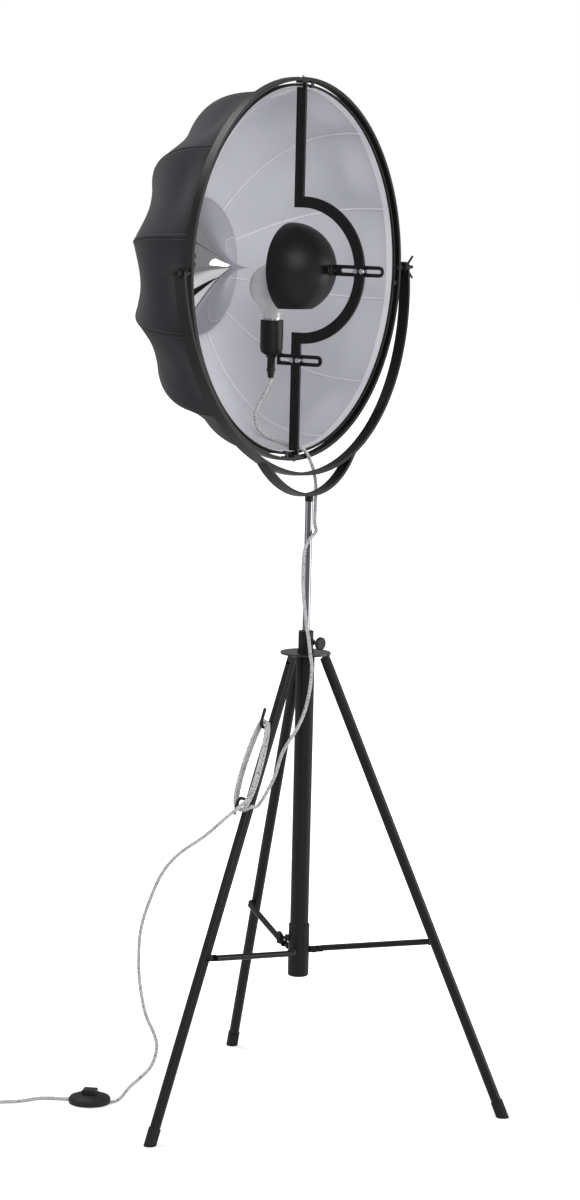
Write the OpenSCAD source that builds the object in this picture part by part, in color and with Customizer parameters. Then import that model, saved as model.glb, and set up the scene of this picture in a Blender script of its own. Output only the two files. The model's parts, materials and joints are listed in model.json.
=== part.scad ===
// Tripod spotlight floor lamp: a ribbed fabric dish with a mirror cone, in a steel ring
// that tilts in a yoke on a sliding mast. Millimetres, +Z up, floor at z = 0, column on
// the Z axis, and the dish opens towards -Y.

/* [Tripod] */
// Radius of the circle that the feet stand on
foot_circle_r = 368; // [340:1:400]
// Height of the top plate's upper face
plate_z = 799; // [760:1:840]
// Diameter of the top plate
plate_d = 87; // [86:1:100]
// Thickness of the top plate
plate_t = 3; // [2:0.5:5]
// Direction of the leg that carries the cord, in degrees from +X
leg_turn = 172; // [165:1:180]
// Diameter of a leg tube
leg_d = 18; // [16:0.5:20]
// Wall of a leg tube
leg_wall = 1.5; // [1:0.1:2.5]
// Distance of the leg hinges from the column's axis
hinge_r = 36; // [35:0.5:38]
// Drop of the leg hinges below the plate
hinge_drop = 10; // [9.5:0.5:14]
// Thickness of a hinge ear under the plate
ear_t = 8; // [6:0.5:9]
// Diameter of a hinge pin
pin_d = 5; // [4:0.5:6]
// Wall of a rubber foot
foot_wall = 1.5; // [1:0.1:3]

/* [Column and hub] */
// Outer diameter of the column tube
column_d = 32; // [30:0.5:33]
// Wall of the column tube
column_wall = 1.5; // [1:0.1:3]
// Diameter of the hub sleeve
hub_d = 36.6; // [36:0.1:38]
// Height of the hub sleeve
hub_h = 93; // [80:1:100]
// Height of the brace pivots on the hub
hub_pivot_z = 273; // [265:1:280]
// Distance of the brace pivots from the column's axis
hub_pivot_r = 27; // [26:0.5:29]
// Diameter of a brace tube
brace_d = 10.6; // [9:0.1:12]
// Where the brace meets the leg, as a share of the leg's length
brace_share = 0.617; // [0.58:0.001:0.65]
// Thickness of a brace's flat end
tab_t = 3; // [2:0.5:4]
// Height of a brace's flat end
tab_w = 11; // [10:0.5:13]

/* [Mast] */
// Diameter of the chrome mast
mast_d = 13; // [11:0.5:14]
// Wall of the mast
mast_wall = 1.2; // [1:0.1:2]
// Height of the yoke bracket above the floor
bracket_z = 1069; // [1040:1:1100]
// Length of the mast tube
mast_len = 500; // [450:10:550]
// Diameter of the clamp collar
collar_d = 26; // [24:0.5:30]
// Height of the clamp collar
collar_h = 37; // [34:1:42]
// Diameter of a clamp knob
knob_d = 23; // [20:0.5:26]
// Diameter of the clamp screws
screw_d = 6; // [5:0.5:7]
// Height of the swivel block under the bracket
block_h = 9; // [7:0.5:12]

/* [Yoke] */
// Gap between the ring's outside and the yoke's inside
yoke_gap = 19.5; // [17:0.5:25]
// Thickness of the yoke's strip
yoke_t = 5.5; // [4:0.5:6]
// Width of the yoke's strip
yoke_w = 20; // [18:1:24]
// How far the yoke leans back, in degrees
yoke_lean = 5; // [3:0.5:6]
// Outer radius of the lower bracket's arc
bracket_r = 183; // [175:1:190]
// Gap between the two strips at the bottom
bracket_gap = 36; // [32:1:40]

/* [Ring and frame] */
// Outer diameter of the front ring
ring_d = 650; // [640:1:654]
// Thickness of the ring's strip
ring_t = 6; // [4:0.5:7]
// Width of the ring's strip
ring_w = 14; // [14:1:18]
// Diameter of the pivot bolts
bolt_d = 6; // [5:0.5:6]
// Width of the support bar
bar_w = 18; // [16:1:20]
// Thickness of the support bar
bar_t = 5; // [4:0.5:6]
// Outer radius of the bar's half ring
bow_r = 125; // [122:1:128]
// Width of the half ring's band
bow_w = 19; // [17:1:20]
// Diameter of the small frame screws
small_screw_d = 5; // [4:0.5:5.5]

/* [Dish] */
// Gap between the ring's inside and the rim wire
rim_gap = 5; // [4:0.5:8]
// Diameter of the rim wire
rim_wire_d = 4; // [3:0.5:4]
// Depth of the dish behind the ring
dish_depth = 230; // [222:1:240]
// Number of ribs
rib_count = 12;
// Diameter of a rib
rib_d = 3; // [2.5:0.5:3]
// Turn of the first rib, in degrees from +X
rib_turn = 19.5; // [15:0.5:25]
// Thickness of the cloth
cloth_t = 0.8; // [0.6:0.1:1]
// How far the cloth draws in between two ribs, as a share of the radius
draw_in = 0.055; // [0.03:0.005:0.06]
// Base radius of the mirror cone
cone_r = 120; // [110:1:122]
// Depth of the cone's base behind the ring
cone_base_y = 207; // [200:1:208]
// Height of the mirror cone
cone_h = 115; // [105:1:118]
// Wall of the mirror cone
cone_wall = 1.2; // [1:0.1:1.5]

/* [Lamp and bowl] */
// Radius of the anti-glare bowl
bowl_r = 78; // [77.5:0.5:80]
// Wall of the bowl
bowl_wall = 2; // [1:0.1:2]
// Depth of the bowl's mouth behind the ring
bowl_y = 14; // [10:1:16]
// Height of the bowl's flat cut below its centre
bowl_cut = 68; // [62:1:70]
// Radius of the bulb's globe
bulb_r = 40; // [38:0.5:40]
// Depth of the bulb's axis behind the ring
bulb_y = 51; // [49:1:54]
// Height of the globe's centre against the pivot
bulb_z = -30; // [-32:1:-28]
// Diameter of the lamp holder
holder_d = 39.5; // [38:0.5:42]
// Height of the lamp holder
holder_h = 56; // [52:1:60]
// Diameter of the threaded stem
stem_d = 13.5; // [10:0.5:14]
// Length of the slotted arms
arm_len = 98; // [94:1:104]
// Width of the slotted arms
arm_w = 19; // [18:0.5:20]
// Thickness of the slotted arms
arm_t = 3; // [2:0.5:4]
// Length of an arm's slot
slot_len = 80; // [74:1:84]
// Width of an arm's slot
slot_w = 6.5; // [6:0.5:7]

/* [Cord and switch] */
// Diameter of the braided cord
cord_d = 6; // [5:0.5:6]
// Turns of cord round the two hooks
hook_turns = 2; // [1:1:2]
// Turns in each layer of the coil
coil_turns = 4; // [3:1:5]
// Diameter of the cord hooks' wire
hook_d = 5.5; // [4:0.5:6]
// Diameter of the foot switch
switch_d = 73; // [70:1:80]
// Side of the switch's square button
button_w = 24; // [20:1:26]

/* [Hidden] */

$fn = 48;
fit = 0.06;              // running clearance round a pin, a screw or a tube
gap = 0.3;               // clearance between flat pieces that move past each other
black = [0.10, 0.10, 0.11];
steel = [0.72, 0.73, 0.75];

// Directions of the three legs: the cord's leg, the rear one and the right one
leg_dirs = [leg_turn, leg_turn - 120, leg_turn + 120];
plate_under = plate_z - plate_t;
hinge_z = plate_under - hinge_drop;
leg_a = atan2(foot_circle_r - hinge_r, hinge_z);
leg_len = hinge_z / cos(leg_a);
leg_top = 6;
tube_end = leg_len - 11;
ear_r = 6;

// The braces lie beside the legs, so that they pass them when the tripod folds
tab_y = leg_d / 2 + gap;
brace_y = tab_y + brace_d / 2;
joint_r = hinge_r + brace_share * (foot_circle_r - hinge_r);
joint_z = hinge_z * (1 - brace_share);
brace_a = atan2(joint_z - hub_pivot_z, joint_r - hub_pivot_r);
brace_len = norm([joint_r - hub_pivot_r, joint_z - hub_pivot_z]);
hub_bottom = hub_pivot_z - 46;
hub_bore = column_d / 2 + fit;
lug_t = 4;
hub_knob_dir = leg_turn - 52;
hub_knob_z = hub_pivot_z + 20;
collar_knob_dir = leg_turn + 86;
collar_knob_z = plate_z + collar_h / 2;
collar_top = plate_z + collar_h;

// The cord hooks, in the leg's own frame
hook_top = -125;
hook_low = -252;
hook_reach = 31.5;
hook_bend = 9;
hook_end = 22;

mast_top = bracket_z - block_h;
yoke_in = ring_d / 2 + yoke_gap;
yoke_r = yoke_in + yoke_t;
pivot_up = bracket_gap + yoke_r;
pivot = [0, sin(yoke_lean) * pivot_up, bracket_z + cos(yoke_lean) * pivot_up];
ring_r = ring_d / 2;
ring_in = ring_r - ring_t;
rim_r = ring_in - rim_gap - rim_wire_d / 2;
bracket_reach = 54;
wing_len = 22;

// The bar passes in front of the rim wire, and its half ring bulges forward from it
notch_y = -rim_wire_d / 2 - gap;
bow_in = bow_r - bow_w;
bow_mid_y = -bar_w / 2 - (bow_r + bow_in) / 2;
foot_in = ring_in - rim_gap + 1;
arm_x = bar_t / 2 + 0.1;
bowl_z = 2.6;
screw_pitch = 11.5;

holder_top = bulb_z - bulb_r - 17;
holder_bottom = holder_top - holder_h;
holder_in = holder_d / 2 - 2.3;
arm_z = holder_bottom - 1 - arm_w / 2;
arm_screws_at = [for (at = [[0, bow_mid_y, bowl_z], [0, 0, arm_z]], side = [-1, 1])
    at + [0, side * screw_pitch / 2, 0]];
stem_len = 27;
grip_top = holder_bottom - stem_len;
grip_h = 16;
cap_r = 13.2;
neck_r = 16;
bowl_arm_end = bowl_y - bowl_r - 7;
bulb_arm_front = -50;
bulb_arm_end = bulb_y - 10;

boss_r = 30;
cloth_off = rib_d / 2 + 0.3;

switch_wall = 2;
switch_in = switch_d / 2 - switch_wall;
switch_at = [-228, 280, 0];
switch_dir = 114;
plug_h = 13.7;
plug_w = 35;
plug_len = 36;
plug_pin_d = 4;
plug_pin_len = 19;
shoulder_d = 5;
shoulder_len = 6;
plug_pin_pitch = 19;

// ---------- general shapes ----------

// A rod along Y
module rod_y(d, len) { rotate([-90, 0, 0]) cylinder(d = d, h = len); }

// A rod along X
module rod_x(d, len) { rotate([0, 90, 0]) cylinder(d = d, h = len); }

module rod_x_at(x, d, len) { translate([x, 0, 0]) rod_x(d, len); }

// A flat strip bent to an arc in the XZ plane, with its axis at the origin
module strip_arc(r, t, w, from, sweep) {
    rotate([90, 0, 0])
        rotate([0, 0, from])
            rotate_extrude(angle = sweep, $fn = 180)
                translate([r - t, -w / 2])
                    square([t, w]);
}

module in_head() { translate(pivot) children(); }

module in_yoke() { translate([0, 0, bracket_z]) rotate([-yoke_lean, 0, 0]) children(); }

// The leg's own frame: X outward, Y sideways, Z up along the leg, origin at its hinge
module on_leg(dir) {
    rotate([0, 0, dir])
        translate([hinge_r, 0, hinge_z])
            rotate([0, -leg_a, 0])
                children();
}

// The brace's own frame: X along the brace from its hub pivot
module on_brace(dir) {
    rotate([0, 0, dir])
        translate([hub_pivot_r, 0, hub_pivot_z])
            rotate([0, -brace_a, 0])
                children();
}

// ---------- cords ----------

function ease(u) = let (v = min(1, max(0, u))) v * v * (3 - 2 * v);
function unit(v) = v / norm(v);
function spline(a, b, c, d, u) =
    0.5 * (2 * b + (c - a) * u + (2 * a - 5 * b + 4 * c - d) * u * u
           + (3 * b - a - 3 * c + d) * u * u * u);

// A smooth path through the chosen points, with a ring about every "step"
function smooth(points, step) = let (last = len(points) - 1)
    [for (i = [0 : last - 1])
        let (
            before = i == 0 ? 2 * points[0] - points[1] : points[i - 1],
            after = i == last - 1 ? 2 * points[last] - points[last - 1] : points[i + 2],
            count = max(1, round(norm(points[i + 1] - points[i]) / step))
        )
        for (k = [0 : count - 1]) spline(before, points[i], points[i + 1], after, k / count),
     points[last]];

function across(n, t) = unit(n - (n * t) * t);
function tangents(path) = let (last = len(path) - 1)
    [for (i = [0 : last]) unit(path[min(i + 1, last)] - path[max(i - 1, 0)])];
function first_normal(t) = across(abs(t[2]) < 0.9 ? [0, 0, 1] : [0, 1, 0], t);
function normals(t) =
    [for (i = 0, n = first_normal(t[0]); i < len(t);
          i = i + 1, n = i < len(t) ? across(n, t[i]) : n) n];

// One closed tube round a path, from one of its points to another
module tube(path, d, sides, from, to) {
    t = tangents(path);
    n = normals(t);
    rings = to - from + 1;
    points = [for (i = [from : to], k = [0 : sides - 1])
        path[i] + d / 2 * (cos(360 * k / sides) * n[i] + sin(360 * k / sides) * cross(t[i], n[i]))];
    walls = [for (i = [0 : rings - 2], k = [0 : sides - 1])
        let (a = i * sides + k, b = i * sides + (k + 1) % sides)
        each [[a, b + sides, b], [a, a + sides, b + sides]]];
    ends = [for (k = [1 : sides - 2])
        let (last = (rings - 1) * sides)
        each [[0, k, k + 1], [last, last + k + 1, last + k]]];
    polyhedron(points, concat(walls, ends), convexity = 6);
}

// Where a chosen point comes in its smooth path
function rings_to(points, step, k) = k == 0 ? 0 :
    max(1, round(norm(points[k] - points[k - 1]) / step)) + rings_to(points, step, k - 1);

function turn_z(v, a) = [v[0] * cos(a) - v[1] * sin(a), v[0] * sin(a) + v[1] * cos(a), v[2]];
// A point of the left leg's own frame, in the lamp's
function leg_point(p) = turn_z([hinge_r + p[0] * cos(leg_a) - p[2] * sin(leg_a), p[1],
                                hinge_z + p[0] * sin(leg_a) + p[2] * cos(leg_a)], leg_turn);

// The winding: an oval round both hooks that climbs them, straight at its ends
wound_rise = 6.45;
wound_from = -75;
wound_to = -40 - 360 * hook_turns;
wound_mid = [12.2, -3, (hook_top + hook_low) / 2 - 4];
function oval(a) = wound_mid + [
    wound_rise * (wound_from - a) / 360,
    19 * sign(cos(a)) * pow(abs(cos(a)), 0.7) * (1 - 0.2 * sin(a)),
    78.5 * sin(a)
];
wound_rings = round(24 * (wound_from - wound_to) / 360);
wound_turns = [for (k = [0 : wound_rings])
    leg_point(oval(wound_from + (wound_to - wound_from) * k / wound_rings))];
wound_in = unit(wound_turns[1] - wound_turns[0]);
wound_out = unit(wound_turns[wound_rings] - wound_turns[wound_rings - 1]);
wound = concat([wound_turns[0] - cord_d * wound_in], wound_turns,
               [wound_turns[wound_rings] + cord_d * wound_out]);

// The coil on the floor: a flat spiral inward, a ramp, and a wider one back out on top
coil_at = [-334, 464, cord_d / 2];
coil_r = 46.2;
coil_pitch = 6.6;
coil_start = 227.6;
coil_ramp = coil_turns + 0.25;
coil_end = 2 * coil_turns - 0.73;
function coil_radius(s) = coil_r - coil_pitch * min(s, coil_ramp) + 8.5 * max(0, s - coil_ramp);
function coil_point(s) = coil_at + [coil_radius(s) * cos(coil_start - 360 * s),
                                    coil_radius(s) * sin(coil_start - 360 * s),
                                    coil_pitch * ease((s - coil_turns) / 0.25)];
coil_rings = round(24 * coil_end);
coil_loops = [for (k = [0 : coil_rings]) coil_point(coil_end * k / coil_rings)];
coil_in = unit(coil_loops[1] - coil_loops[0]);
coil_out = unit(coil_loops[coil_rings] - coil_loops[coil_rings - 1]);
coil = concat([coil_loops[0] - cord_d * coil_in], coil_loops,
              [coil_loops[coil_rings] + cord_d * coil_out]);

// The routes, by hand: from the grip down to the winding, from there to the switch,
// and from the switch to the coil and the plug
cord_step = 36;
grip_at = [0, pivot[1] + bulb_y, pivot[2] + grip_top - grip_h];
hanging_route = [
    grip_at, grip_at - [0, 0, 7], [-4, 93, 1241], [-8, 104, 1220], [-8, 110, 1200],
    [-4, 106, 1179], [2, 89, 1165], [7, 65, 1158], [10, 48, 1153],
    [10, 32, 1151], [14, 26, 1147], [22, 23, 1142], [34, 22, 1127], [42, 21, 1113],
    [48, 20, 1095], [50, 19, 1075],
    [48, 18, 1057], [40, 13, 1040], [26, 4, 1020], [6, -11.5, 1008], [-12, -9, 995],
    [-16, -3, 974], [-17, -2, 943],
    [-17, -3, 909], [-20, -12, 858], [-31, -26, 826], [-39, -35, 802],
    [-39, -39, 776], [-39, -32, 723], [-43, -18, 679], [-61, 2, 632], [-76, 7, 593],
    [-95, 9, 570], [-120, 11, 547], leg_point([-2, 14, -259]), leg_point([7.5, 11.8, -261]),
    wound[0] - 4 * wound_in, wound[0]
];
hanging = smooth(hanging_route, cord_step);
function hanging_at(k) = rings_to(hanging_route, cord_step, k);

switch_along = [cos(switch_dir), sin(switch_dir), 0];
switch_cord = switch_at + [0, 0, cord_d / 2];
falling_route = [
    wound[len(wound) - 1], wound[len(wound) - 1] + 4 * wound_out, leg_point([35, 7, -272]),
    [-193, 28, 534], [-204, 63, 500], [-213, 107, 466], [-216, 140, 429], [-215, 167, 376],
    [-207, 191, 318], [-188, 208, 258], [-162, 223, 206], [-128, 235, 146], [-95, 239, 100],
    [-72, 249, 68], [-65, 266, 30], [-61, 278, 12], [-56, 289, 3],
    [-66, 291, 3], [-110, 276, 3], [-154, 258, 3], [-186, 245, 3],
    switch_cord - 44 * switch_along, switch_cord - (switch_in + 0.1) * switch_along
];
falling = smooth(falling_route, cord_step);
function falling_at(k) = rings_to(falling_route, cord_step, k);

lying_route = [
    switch_cord + (switch_in + 0.1) * switch_along, switch_cord + 44 * switch_along,
    [-268, 356, 3], [-304, 374, 3], [-330, 398, 3], coil[0] - 8 * coil_in, coil[0]
];
lying = smooth(lying_route, cord_step);

coil_last = coil[len(coil) - 1];
tail_dir = atan2(coil_out[1], coil_out[0]);
plug_dir = tail_dir + 12;
plug_at = coil_last + turn_z([88, 9, plug_h / 2 - coil_last[2]], tail_dir);
tail_route = [
    coil_last, coil_last + 8 * coil_out,
    coil_last + turn_z([26, 1, -4], tail_dir), coil_last + turn_z([46, 3, -6.6], tail_dir),
    plug_at - turn_z([20, 0, 2], plug_dir), plug_at - turn_z([6, 0, 0], plug_dir), plug_at
];
tail = smooth(tail_route, cord_step);

// The least gap between two turns of a tube, measured on its path's points
function least_gap(path, d, skip) = min([for (i = [0 : len(path) - 1 - skip])
    min([for (j = [i + skip : len(path) - 1]) norm(path[i] - path[j])])]) - d;

// ---------- top plate, collar and column ----------

module top_plate() {
    color(black) difference() {
        union() {
            translate([0, 0, plate_under]) cylinder(d = plate_d, h = plate_t, $fn = 96);
            for (dir = leg_dirs)
                rotate([0, 0, dir]) {
                    translate([hinge_r - ear_r, -ear_t / 2, hinge_z])
                        cube([2 * ear_r, ear_t, hinge_drop + 0.1]);
                    translate([hinge_r, -ear_t / 2, hinge_z]) rod_y(2 * ear_r, ear_t);
                }
        }
        translate([0, 0, plate_under - 1]) cylinder(d = mast_d + 2 * fit, h = plate_t + 2);
        for (dir = leg_dirs)
            rotate([0, 0, dir])
                translate([hinge_r, -ear_t / 2 - 1, hinge_z])
                    rod_y(pin_d + fit, ear_t + 2);
    }
}

module leg_hinge_pins() {
    color(steel)
        for (dir = leg_dirs)
            rotate([0, 0, dir])
                translate([hinge_r, -leg_d / 2 + 0.5, hinge_z])
                    rod_y(pin_d, leg_d - 1);
}

module column_tube() {
    color(black)
        translate([0, 0, hub_bottom + 4]) difference() {
            cylinder(d = column_d, h = plate_under - hub_bottom - 4, $fn = 72);
            translate([0, 0, -1])
                cylinder(d = column_d - 2 * column_wall, h = plate_under - hub_bottom, $fn = 72);
        }
}

// A boss on the side of a sleeve, which a clamp screw runs through
module screw_boss(dir, z, reach) {
    translate([0, 0, z]) rotate([0, 0, dir]) rod_x(2 * screw_d, reach);
}

module collar() {
    color(black) difference() {
        union() {
            translate([0, 0, plate_z]) cylinder(d = collar_d, h = collar_h - 1);
            translate([0, 0, collar_top - 1]) cylinder(d1 = collar_d, d2 = collar_d - 2, h = 1);
            translate([0, 0, plate_z]) cylinder(d = collar_d + 3, h = 2.5);
            screw_boss(collar_knob_dir, collar_knob_z, collar_d / 2 + 4);
        }
        translate([0, 0, plate_z - 1]) cylinder(d = mast_d + 2 * fit, h = collar_h + 2);
        translate([0, 0, collar_knob_z])
            rotate([0, 0, collar_knob_dir])
                rod_x(screw_d + 2 * fit, collar_d);
    }
}

// A faceted knob on its screw, along +X, whose tip stands off from what it clamps
module clamp_knob(tip, knob_at) {
    half = knob_d / 2;
    shape = [[0, 0], [screw_d * 0.8, 0], [half * 0.75, 3], [half, 5.5], [half, 9],
             [half - 2, 11], [0, 11]];
    rod_x_at(tip, screw_d, knob_at + 1 - tip);
    translate([knob_at, 0, 0]) rotate([0, 90, 0]) intersection() {
        rotate_extrude() polygon(shape);
        cylinder(d = knob_d, h = 11, $fn = 10);
    }
}

module collar_knob() {
    color(black) translate([0, 0, collar_knob_z])
        rotate([0, 0, collar_knob_dir])
            clamp_knob(mast_d / 2 + gap, collar_d / 2 + 15);
}

// ---------- hub and braces ----------

module hub_lug(dir) {
    rotate([0, 0, dir]) translate([0, tab_y - gap - lug_t, hub_pivot_z]) {
        translate([column_d / 2 - 3, 0, -tab_w / 2])
            cube([hub_pivot_r - column_d / 2 + 3, lug_t, tab_w]);
        translate([hub_pivot_r, 0, 0]) rod_y(tab_w, lug_t);
    }
}

module hub() {
    color(black) difference() {
        union() {
            translate([0, 0, hub_bottom + 2]) cylinder(d = hub_d, h = hub_h - 4, $fn = 72);
            translate([0, 0, hub_bottom]) cylinder(d1 = hub_d - 3, d2 = hub_d, h = 2, $fn = 72);
            translate([0, 0, hub_bottom + hub_h - 2])
                cylinder(d1 = hub_d, d2 = hub_d - 3, h = 2, $fn = 72);
            screw_boss(hub_knob_dir, hub_knob_z, hub_d / 2 + 6);
            for (dir = leg_dirs) hub_lug(dir);
        }
        translate([0, 0, hub_bottom - 1]) cylinder(r = hub_bore, h = hub_h + 2, $fn = 72);
        translate([0, 0, hub_knob_z])
            rotate([0, 0, hub_knob_dir])
                rod_x(screw_d + 2 * fit, hub_d);
        for (dir = leg_dirs)
            rotate([0, 0, dir])
                translate([hub_pivot_r, 0, hub_pivot_z])
                    rod_y(pin_d + fit, tab_y);
    }
}

module brace_pins() {
    color(steel)
        for (dir = leg_dirs)
            rotate([0, 0, dir])
                translate([hub_pivot_r, tab_y - gap - lug_t - 1, hub_pivot_z]) {
                    rod_y(pin_d, lug_t + 2 * gap + tab_t + 3);
                    translate([0, lug_t + 2 * gap + tab_t + 1, 0]) rod_y(pin_d + 3, 2);
                }
}

module hub_knob() {
    color(black) translate([0, 0, hub_knob_z])
        rotate([0, 0, hub_knob_dir])
            clamp_knob(column_d / 2 + gap, hub_d / 2 + 9);
}

// A tube with a flat round end at each pivot, and a rivet head at its leg end
module brace(dir) {
    neck = tab_w + 3;
    color(black) on_brace(dir) difference() {
        union() {
            translate([0, tab_y, -tab_w / 2]) cube([neck, tab_t, tab_w]);
            translate([0, tab_y, 0]) rod_y(tab_w, tab_t);
            translate([brace_len - neck, tab_y, -tab_w / 2]) cube([neck, tab_t, tab_w]);
            translate([brace_len, tab_y, 0]) rod_y(tab_w, tab_t);
            translate([brace_len, tab_y, 0]) rod_y(tab_w * 0.7, tab_t + 2);
            translate([neck - 3, brace_y, 0]) rod_x(brace_d, brace_len - 2 * neck + 6);
        }
        translate([0, tab_y - 1, 0]) rod_y(pin_d + 2 * fit, brace_d + 2);
    }
}

// ---------- legs and feet ----------

module leg(dir, hooked = false) {
    color(black) on_leg(dir) difference() {
        translate([0, 0, -tube_end]) cylinder(d = leg_d, h = tube_end + leg_top);
        translate([-leg_d, -ear_t / 2 - gap, -ear_r - 1.5])
            cube([2 * leg_d, ear_t + 2 * gap, leg_d]);
        translate([0, -leg_d, 0]) rod_y(pin_d + 2 * fit, 2 * leg_d);
        translate([0, 0, -tube_end - 1]) cylinder(d = leg_d - 2 * leg_wall, h = tube_end - 24);
        if (hooked)
            for (z = [hook_top, hook_low])
                translate([0, 0, z]) rod_x(hook_d + fit, leg_d);
    }
}

// A rubber cap on the leg's end, cut flat where it stands
module foot(dir) {
    color([0.05, 0.05, 0.05]) difference() {
        on_leg(dir)
            translate([0, 0, -leg_len - leg_d / 2])
                cylinder(d = leg_d + 2 * foot_wall, h = 30 + leg_d / 2);
        on_leg(dir)
            translate([0, 0, -tube_end]) cylinder(d = leg_d, h = 60);
        translate([-foot_circle_r * 2, -foot_circle_r * 2, -40])
            cube([foot_circle_r * 4, foot_circle_r * 4, 40]);
    }
}

// A bent wire hook, whose end runs up the leg
module hook() {
    stem_at = leg_d / 2 - leg_wall - 1;
    rod_x_at(stem_at, hook_d, hook_reach - hook_bend - stem_at);
    translate([hook_reach - hook_bend, 0, hook_bend])
        rotate([90, 0, 0])
            rotate([0, 0, -90])
                rotate_extrude(angle = 90)
                    translate([hook_bend, 0])
                        circle(d = hook_d);
    translate([hook_reach, 0, hook_bend]) cylinder(d = hook_d, h = hook_end);
}

module cord_hooks() {
    color(black) on_leg(leg_turn) {
        translate([0, 0, hook_top]) hook();
        translate([0, 0, hook_low]) mirror([0, 0, 1]) hook();
    }
}

// ---------- mast, swivel and yoke ----------

module mast() {
    color(steel) translate([0, 0, mast_top - mast_len]) difference() {
        cylinder(d = mast_d, h = mast_len);
        translate([0, 0, -1]) cylinder(d = mast_d - 2 * mast_wall, h = mast_len + 2);
    }
}

module swivel_block() {
    color(black) {
        difference() {
            translate([0, 0, mast_top + gap]) cylinder(d = mast_d + 1.5, h = block_h + 6);
            in_yoke()
                translate([0, 50, bracket_r]) rotate([90, 0, 0])
                    cylinder(r = bracket_r + fit / 2, h = 100, $fn = 180);
        }
        translate([0, 0, mast_top - 40])
            cylinder(d = mast_d - 2 * mast_wall - 2 * fit, h = 40 + gap + 1);
    }
}

// The lower arc, whose ends are mitred to the yoke's outer face
module yoke_bracket() {
    color(black) in_yoke() difference() {
        translate([0, 0, bracket_r])
            strip_arc(bracket_r, yoke_t, yoke_w, -90 - bracket_reach, 2 * bracket_reach);
        translate([0, yoke_w, pivot_up])
            rotate([90, 0, 0])
                cylinder(r = yoke_r + fit / 2, h = 2 * yoke_w, $fn = 180);
    }
}

module yoke() {
    color(black) in_yoke() translate([0, 0, pivot_up]) difference() {
        union() {
            strip_arc(yoke_r, yoke_t, yoke_w, 180, 180);
            for (side = [0, 180]) rotate([0, 0, side]) rod_x_at(yoke_in, yoke_w, yoke_t);
        }
        rod_x_at(-yoke_r - 1, bolt_d + 2 * fit, 2 * yoke_r + 2);
    }
}

// A nut with two thin wings on the +X side, seated on the yoke
module wing_nut() {
    seat = yoke_r + gap;
    color([0.25, 0.25, 0.26]) difference() {
        union() {
            rod_x_at(seat, 2.3 * bolt_d, 6);
            translate([seat + 6, 0, 0]) rotate([0, 90, 0])
                cylinder(d1 = 2.3 * bolt_d, d2 = 1.8 * bolt_d, h = 5);
            for (side = [0, 180])
                rotate([side, 0, 0])
                    translate([seat + 7.5, 0, bolt_d * 0.75])
                        rotate([0, 50, 0]) {
                            cylinder(d1 = 4.6, d2 = 3.8, h = wing_len);
                            translate([0, 0, wing_len]) sphere(d = 3.8, $fn = 24);
                        }
        }
        rod_x_at(yoke_r, bolt_d + 2 * fit, 40);
    }
}

module wing_nut_right() { in_head() wing_nut(); }

module wing_nut_left() { in_head() rotate([90, 0, 180]) wing_nut(); }

module pivot_bolts() {
    color(steel) in_head()
        for (side = [0, 180]) rotate([0, 0, side]) {
            rod_x_at(ring_in - 3, 2 * bolt_d, 3 - fit);
            rod_x_at(ring_in - 1, bolt_d, yoke_r - ring_in + 25);
        }
}

// A sleeve and a broad washer between the ring and the yoke
module pivot_spacers() {
    washer_at = yoke_in - gap - 7;
    color(black) in_head()
        for (side = [0, 180]) rotate([0, 0, side]) difference() {
            union() {
                rod_x_at(ring_in, 2 * bolt_d, washer_at - ring_in + 1);
                rod_x_at(washer_at, yoke_w, 7);
            }
            rod_x_at(ring_in - 1, bolt_d + 2 * fit, 60);
            translate([0, ring_w, 0])
                rotate([90, 0, 0])
                    cylinder(r = ring_r + fit / 2, h = 2 * ring_w, $fn = 180);
        }
}

// ---------- ring, bar and rim ----------

module ring() {
    color(black) in_head() difference() {
        strip_arc(ring_r, ring_t, ring_w, 0, 360);
        rod_x_at(-ring_r - 1, bolt_d + 2 * fit, ring_d + 2);
        translate([0, 0, -ring_r - 1]) cylinder(d = small_screw_d + 2 * fit, h = ring_d + 2);
    }
}

module rim_wire() {
    color(black) in_head() rotate([90, 0, 0])
        rotate_extrude($fn = 120) translate([rim_r, 0]) circle(d = rim_wire_d, $fn = 24);
}

// Four small spring clips that hold the rim wire inside the ring
module rim_clips() {
    front = -rim_wire_d / 2 - 1.5;
    inner = rim_r - rim_wire_d / 2 - 1.5;
    color(steel) in_head()
        for (k = [0 : 3]) rotate([0, 95 + 90 * k, 0]) intersection() {
            union() {
                translate([inner, front, -4]) cube([ring_in - inner, 1.2, 8]);
                translate([inner, front, -4]) cube([1.2, rim_wire_d + 0.6, 8]);
                translate([ring_in - 1.6, -5, -4]) cube([3, 10, 8]);
            }
            translate([0, ring_w, 0]) rotate([90, 0, 0])
                cylinder(r = ring_in, h = 2 * ring_w, $fn = 180);
        }
}

// One end of the bar: it narrows in front of the rim, and its foot lies under the ring
module bar_end() {
    difference() {
        union() {
            translate([-bar_t / 2, -bar_w / 2, bow_in]) cube([bar_t, bar_w, rim_r - 4 - bow_in]);
            translate([-bar_t / 2, -bar_w / 2, bow_in])
                cube([bar_t, bar_w / 2 + notch_y, foot_in + 1 - bow_in]);
            translate([-bar_w / 2, -ring_w / 2, foot_in]) cube([bar_w, ring_w, 6]);
        }
        cylinder(d = small_screw_d + fit, h = ring_r);
        difference() {
            translate([-bar_w, -bar_w, foot_in - 2]) cube([2 * bar_w, 2 * bar_w, 20]);
            translate([0, bar_w + 1, 0]) rotate([90, 0, 0])
                cylinder(r = ring_in, h = 2 * bar_w + 2, $fn = 180);
        }
    }
}

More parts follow.
